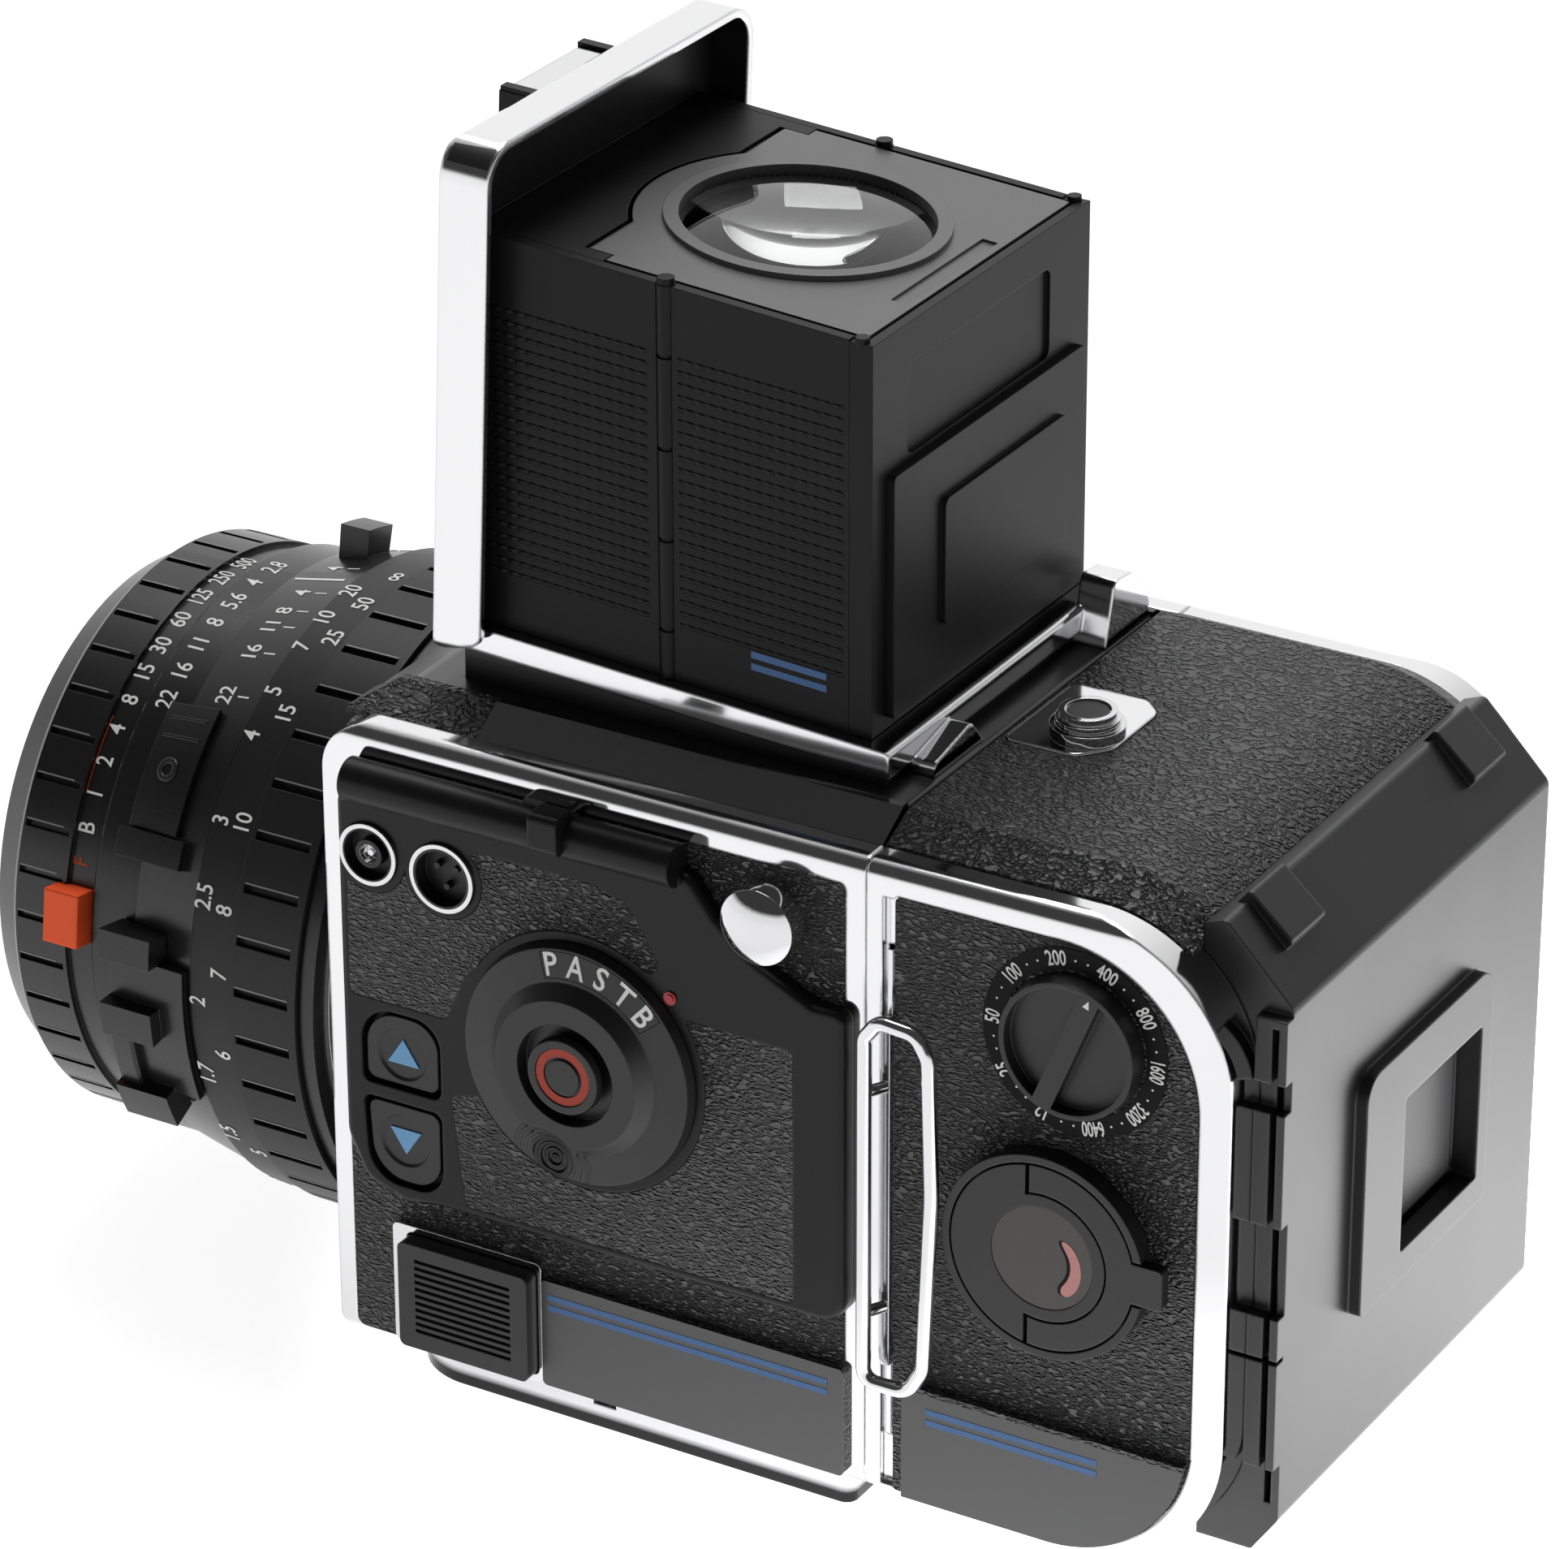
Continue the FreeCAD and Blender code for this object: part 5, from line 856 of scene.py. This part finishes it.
# Ribs pressed into the four hood leaves, each a row of soft beads
def addHoodRibs():
    rib = {"wall": 23.75, "pitch": 1.4, "count": 23, "low": 95.6, "slope": 0.058, "half": 0.34,
           "crown": 0.187, "sunk": -0.03, "rise": 0.16, "bead": 1.4, "stepsPerBead": 4}
    leaves = ((-20.6, -0.4), (3.5, 23.7))                   # from and to, along the camera
    section = ((-rib["half"], rib["sunk"]), (rib["half"], rib["sunk"]), (rib["crown"], rib["rise"]),
               (-rib["crown"], rib["rise"]))

    def beaded(flat, side, start):
        def lay(u, v, w):
            swell = 0.58 + 0.42 * math.cos(2 * math.pi * (u - start) / rib["bead"])
            return flat(side * u, v * (0.9 + 0.1 * swell), w * swell if w > 0 else w)
        return lay

    for name, side in (("Left", 1.0), ("Right", -1.0)):
        made = Marks()
        for start, end in leaves:
            steps = round((end - start) / rib["bead"]) * rib["stepsPerBead"]
            for i in range(rib["count"]):
                flat = faceLay(rib["wall"], 0.0, rib["low"] + i * rib["pitch"], side, rib["slope"])
                lay = beaded(flat, side, start)
                rows = []
                for k in range(steps + 1):
                    u = start + (end - start) * k / steps
                    rows.append([lay(u, v, w) for v, w in section])
                made.loops(rows)
        made.piece("hoodRibs" + name, dressed["hood_black"], "body", "hood_black")


def addHoodTrims():                                         # hinge tips and the catch behind the lid
    tips = ({"x": 23.15, "y": 1.75, "z": 134.4, "radius": 0.95, "high": 0.75, "steps": 20},
            {"x": 23.1, "y": 25.6, "z": 132.85, "radius": 0.8, "high": 0.45, "steps": 16})
    made = Marks(-0.6)
    for side in (-1.0, 1.0):
        for tip in tips:
            lay = topLay(side * tip["x"], tip["y"], tip["z"])
            made.disc(lay, tip["radius"], None, tip["high"], tip["steps"])
    made.piece("hoodHingeTips", dressed["hood_black"], "body", "hood_black")
    shelf = 58.5                                            # height up the lid's front face
    c, s = math.cos(lidPlace["lean"]), math.sin(lidPlace["lean"])

    def shelfLay(u, v, w):
        return (u, lidPlace["y"] - v * c + (shelf + w) * s, lidPlace["z"] + v * s + (shelf + w) * c)

    plate = {"half": 6.6, "from": 0.7, "to": 4.0}
    cheek = {"inner": 7.2, "outer": 8.5, "from": 0.1, "to": 4.5}
    made = Marks(-0.05, 0.12)
    made.bar(shelfLay, -plate["half"], plate["half"], plate["from"], plate["to"])
    made.piece("catchPlate", dressed["slide_steel"], "body", "lid_chrome")
    made = Marks(-0.05, 0.5)
    made.bar(shelfLay, -cheek["outer"], -cheek["inner"], cheek["from"], cheek["to"])
    made.bar(shelfLay, cheek["inner"], cheek["outer"], cheek["from"], cheek["to"])
    made.piece("catchCheeks", dressed["hood_black"], "body", "hood_black")


def addMemoCard():                                          # seen through the window of the slide holder
    card = {"left": -12.4, "right": 5.4, "low": 32.5, "high": 50.5, "y": 80.0}
    made = Marks(-0.08, 0.10)
    made.bar(backLay(0.0, card["y"], 0.0), -card["right"], -card["left"], card["low"], card["high"])
    made.piece("memoCard", paints["card"], "magazine", "holder_black")


def addReleaseCap():                                        # dark disc set in the magazine's release button
    low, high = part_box("magazine_release")
    x, y, z = middleOf("magazine_release")
    cap = {"rim": 1.85, "floor": -0.36, "top": -0.20}       # in from the button's edge, down from its top
    radius = (high[0] - low[0]) / 2 / mm - cap["rim"]
    made = Marks(cap["floor"], cap["top"])
    made.disc(topLay(x, y, high[2] / mm), radius, steps=48)
    made.piece("releaseCap", dressed["spool_black"], "magazine_release", "fitting_chrome")


markLens()
addPaintedRibHighlights()
addLensLatch()
addLeverBridge()
markControls()
markFilmSpeeds()
addKeyWindow()
addStripes()
addHoodRibs()
addHoodTrims()
addMemoCard()
addReleaseCap()


# Floor, surroundings and light
def addStudio():                                            # a glowing white floor with a hot spot
    studio = {"size": 8.0, "below": 0.00002, "white": (0.30, 0.30, 0.302),
              "shade": (0.2955, 0.2955, 0.29747), "glow": 3.2,
              "plain": 0.285,                               # the glow's share away from its hot spot
              "hotX": -55.0, "hotY": 100.0, "hotReach": 0.17}
    f = Finish("studioWhite", rough=0.7, specular=0.2)
    f.set("colour", f.blend(f.noise(3.0), studio["white"], studio["shade"]))
    away = ((f.part(0) - studio["hotX"]) ** 2.0 + (f.part(1) - studio["hotY"]) ** 2.0) ** 0.5 * mm
    hot = f.curve(away, (0.0, 1.0), (studio["hotReach"] * 0.4, 0.75), (studio["hotReach"], studio["plain"]))
    f.set("glowColour", f.blend(hot, (0.0, 0.0, 0.0), (1.0, 1.0, 1.0)))
    f.set("glow", studio["glow"])
    half, below = studio["size"] / 2, studio["below"]
    corners = [(x, y, -below) for x, y in ((-half, -half), (half, -half), (half, half), (-half, half))]
    mesh = bpy.data.meshes.new("studioFloor")
    mesh.from_pydata(corners, [], [(0, 1, 2, 3)])
    mesh.materials.append(f.material)
    floor = bpy.data.objects.new("studioFloor", mesh)
    bpy.context.scene.collection.objects.link(floor)
    bpy.context.scene.view_settings.view_transform = "Standard"


def addWorld():                                             # bright on one side, white at the horizon
    bright = {"From Min": 0.35, "From Max": 0.95, "To Min": 0.05, "To Max": 1.05}
    band = {"From Min": 0.06, "From Max": 0.20, "To Min": 1.0, "To Max": 0.0}
    towards = (-0.80, -0.42, 0.43)
    world = bpy.data.worlds.new("studio")
    world.use_nodes = True
    bpy.context.scene.world = world
    tree = world.node_tree

    def ranged(source, limits):
        node = tree.nodes.new("ShaderNodeMapRange")
        for socket, value in limits.items():
            node.inputs[socket].default_value = value
        tree.links.new(source, node.inputs["Value"])
        return node.outputs[0]

    spot = tree.nodes.new("ShaderNodeTexCoord").outputs["Generated"]
    facing = tree.nodes.new("ShaderNodeVectorMath")
    facing.operation = "DOT_PRODUCT"
    facing.inputs[1].default_value = towards
    height = tree.nodes.new("ShaderNodeSeparateXYZ")
    larger = tree.nodes.new("ShaderNodeMath")
    larger.operation = "MAXIMUM"
    background = tree.nodes["Background"]
    background.inputs[0].default_value = (1.0, 1.0, 1.0, 1.0)
    for source, socket in ((spot, facing.inputs[0]), (spot, height.inputs[0]),
                           (ranged(facing.outputs["Value"], bright), larger.inputs[0]),
                           (ranged(height.outputs[2], band), larger.inputs[1]),
                           (larger.outputs[0], background.inputs[1])):
        tree.links.new(source, socket)


def addOverhead():
    light = {"place": Vector((-0.30, -0.20, 1.0)), "aim": Vector((0.0, 0.0, 0.05)), "size": 0.5,
             "power": 6.0}
    data = bpy.data.lights.new("overheadBox", "AREA")
    data.shape = "RECTANGLE"
    data.size, data.size_y = light["size"], light["size"]
    data.energy = light["power"]
    lamp = bpy.data.objects.new("overheadBox", data)
    bpy.context.scene.collection.objects.link(lamp)
    lamp.location = light["place"]
    lamp.rotation_euler = (light["aim"] - light["place"]).to_track_quat("-Z", "Y").to_euler()


addStudio()
addWorld()
addOverhead()
print("studio and light placed")
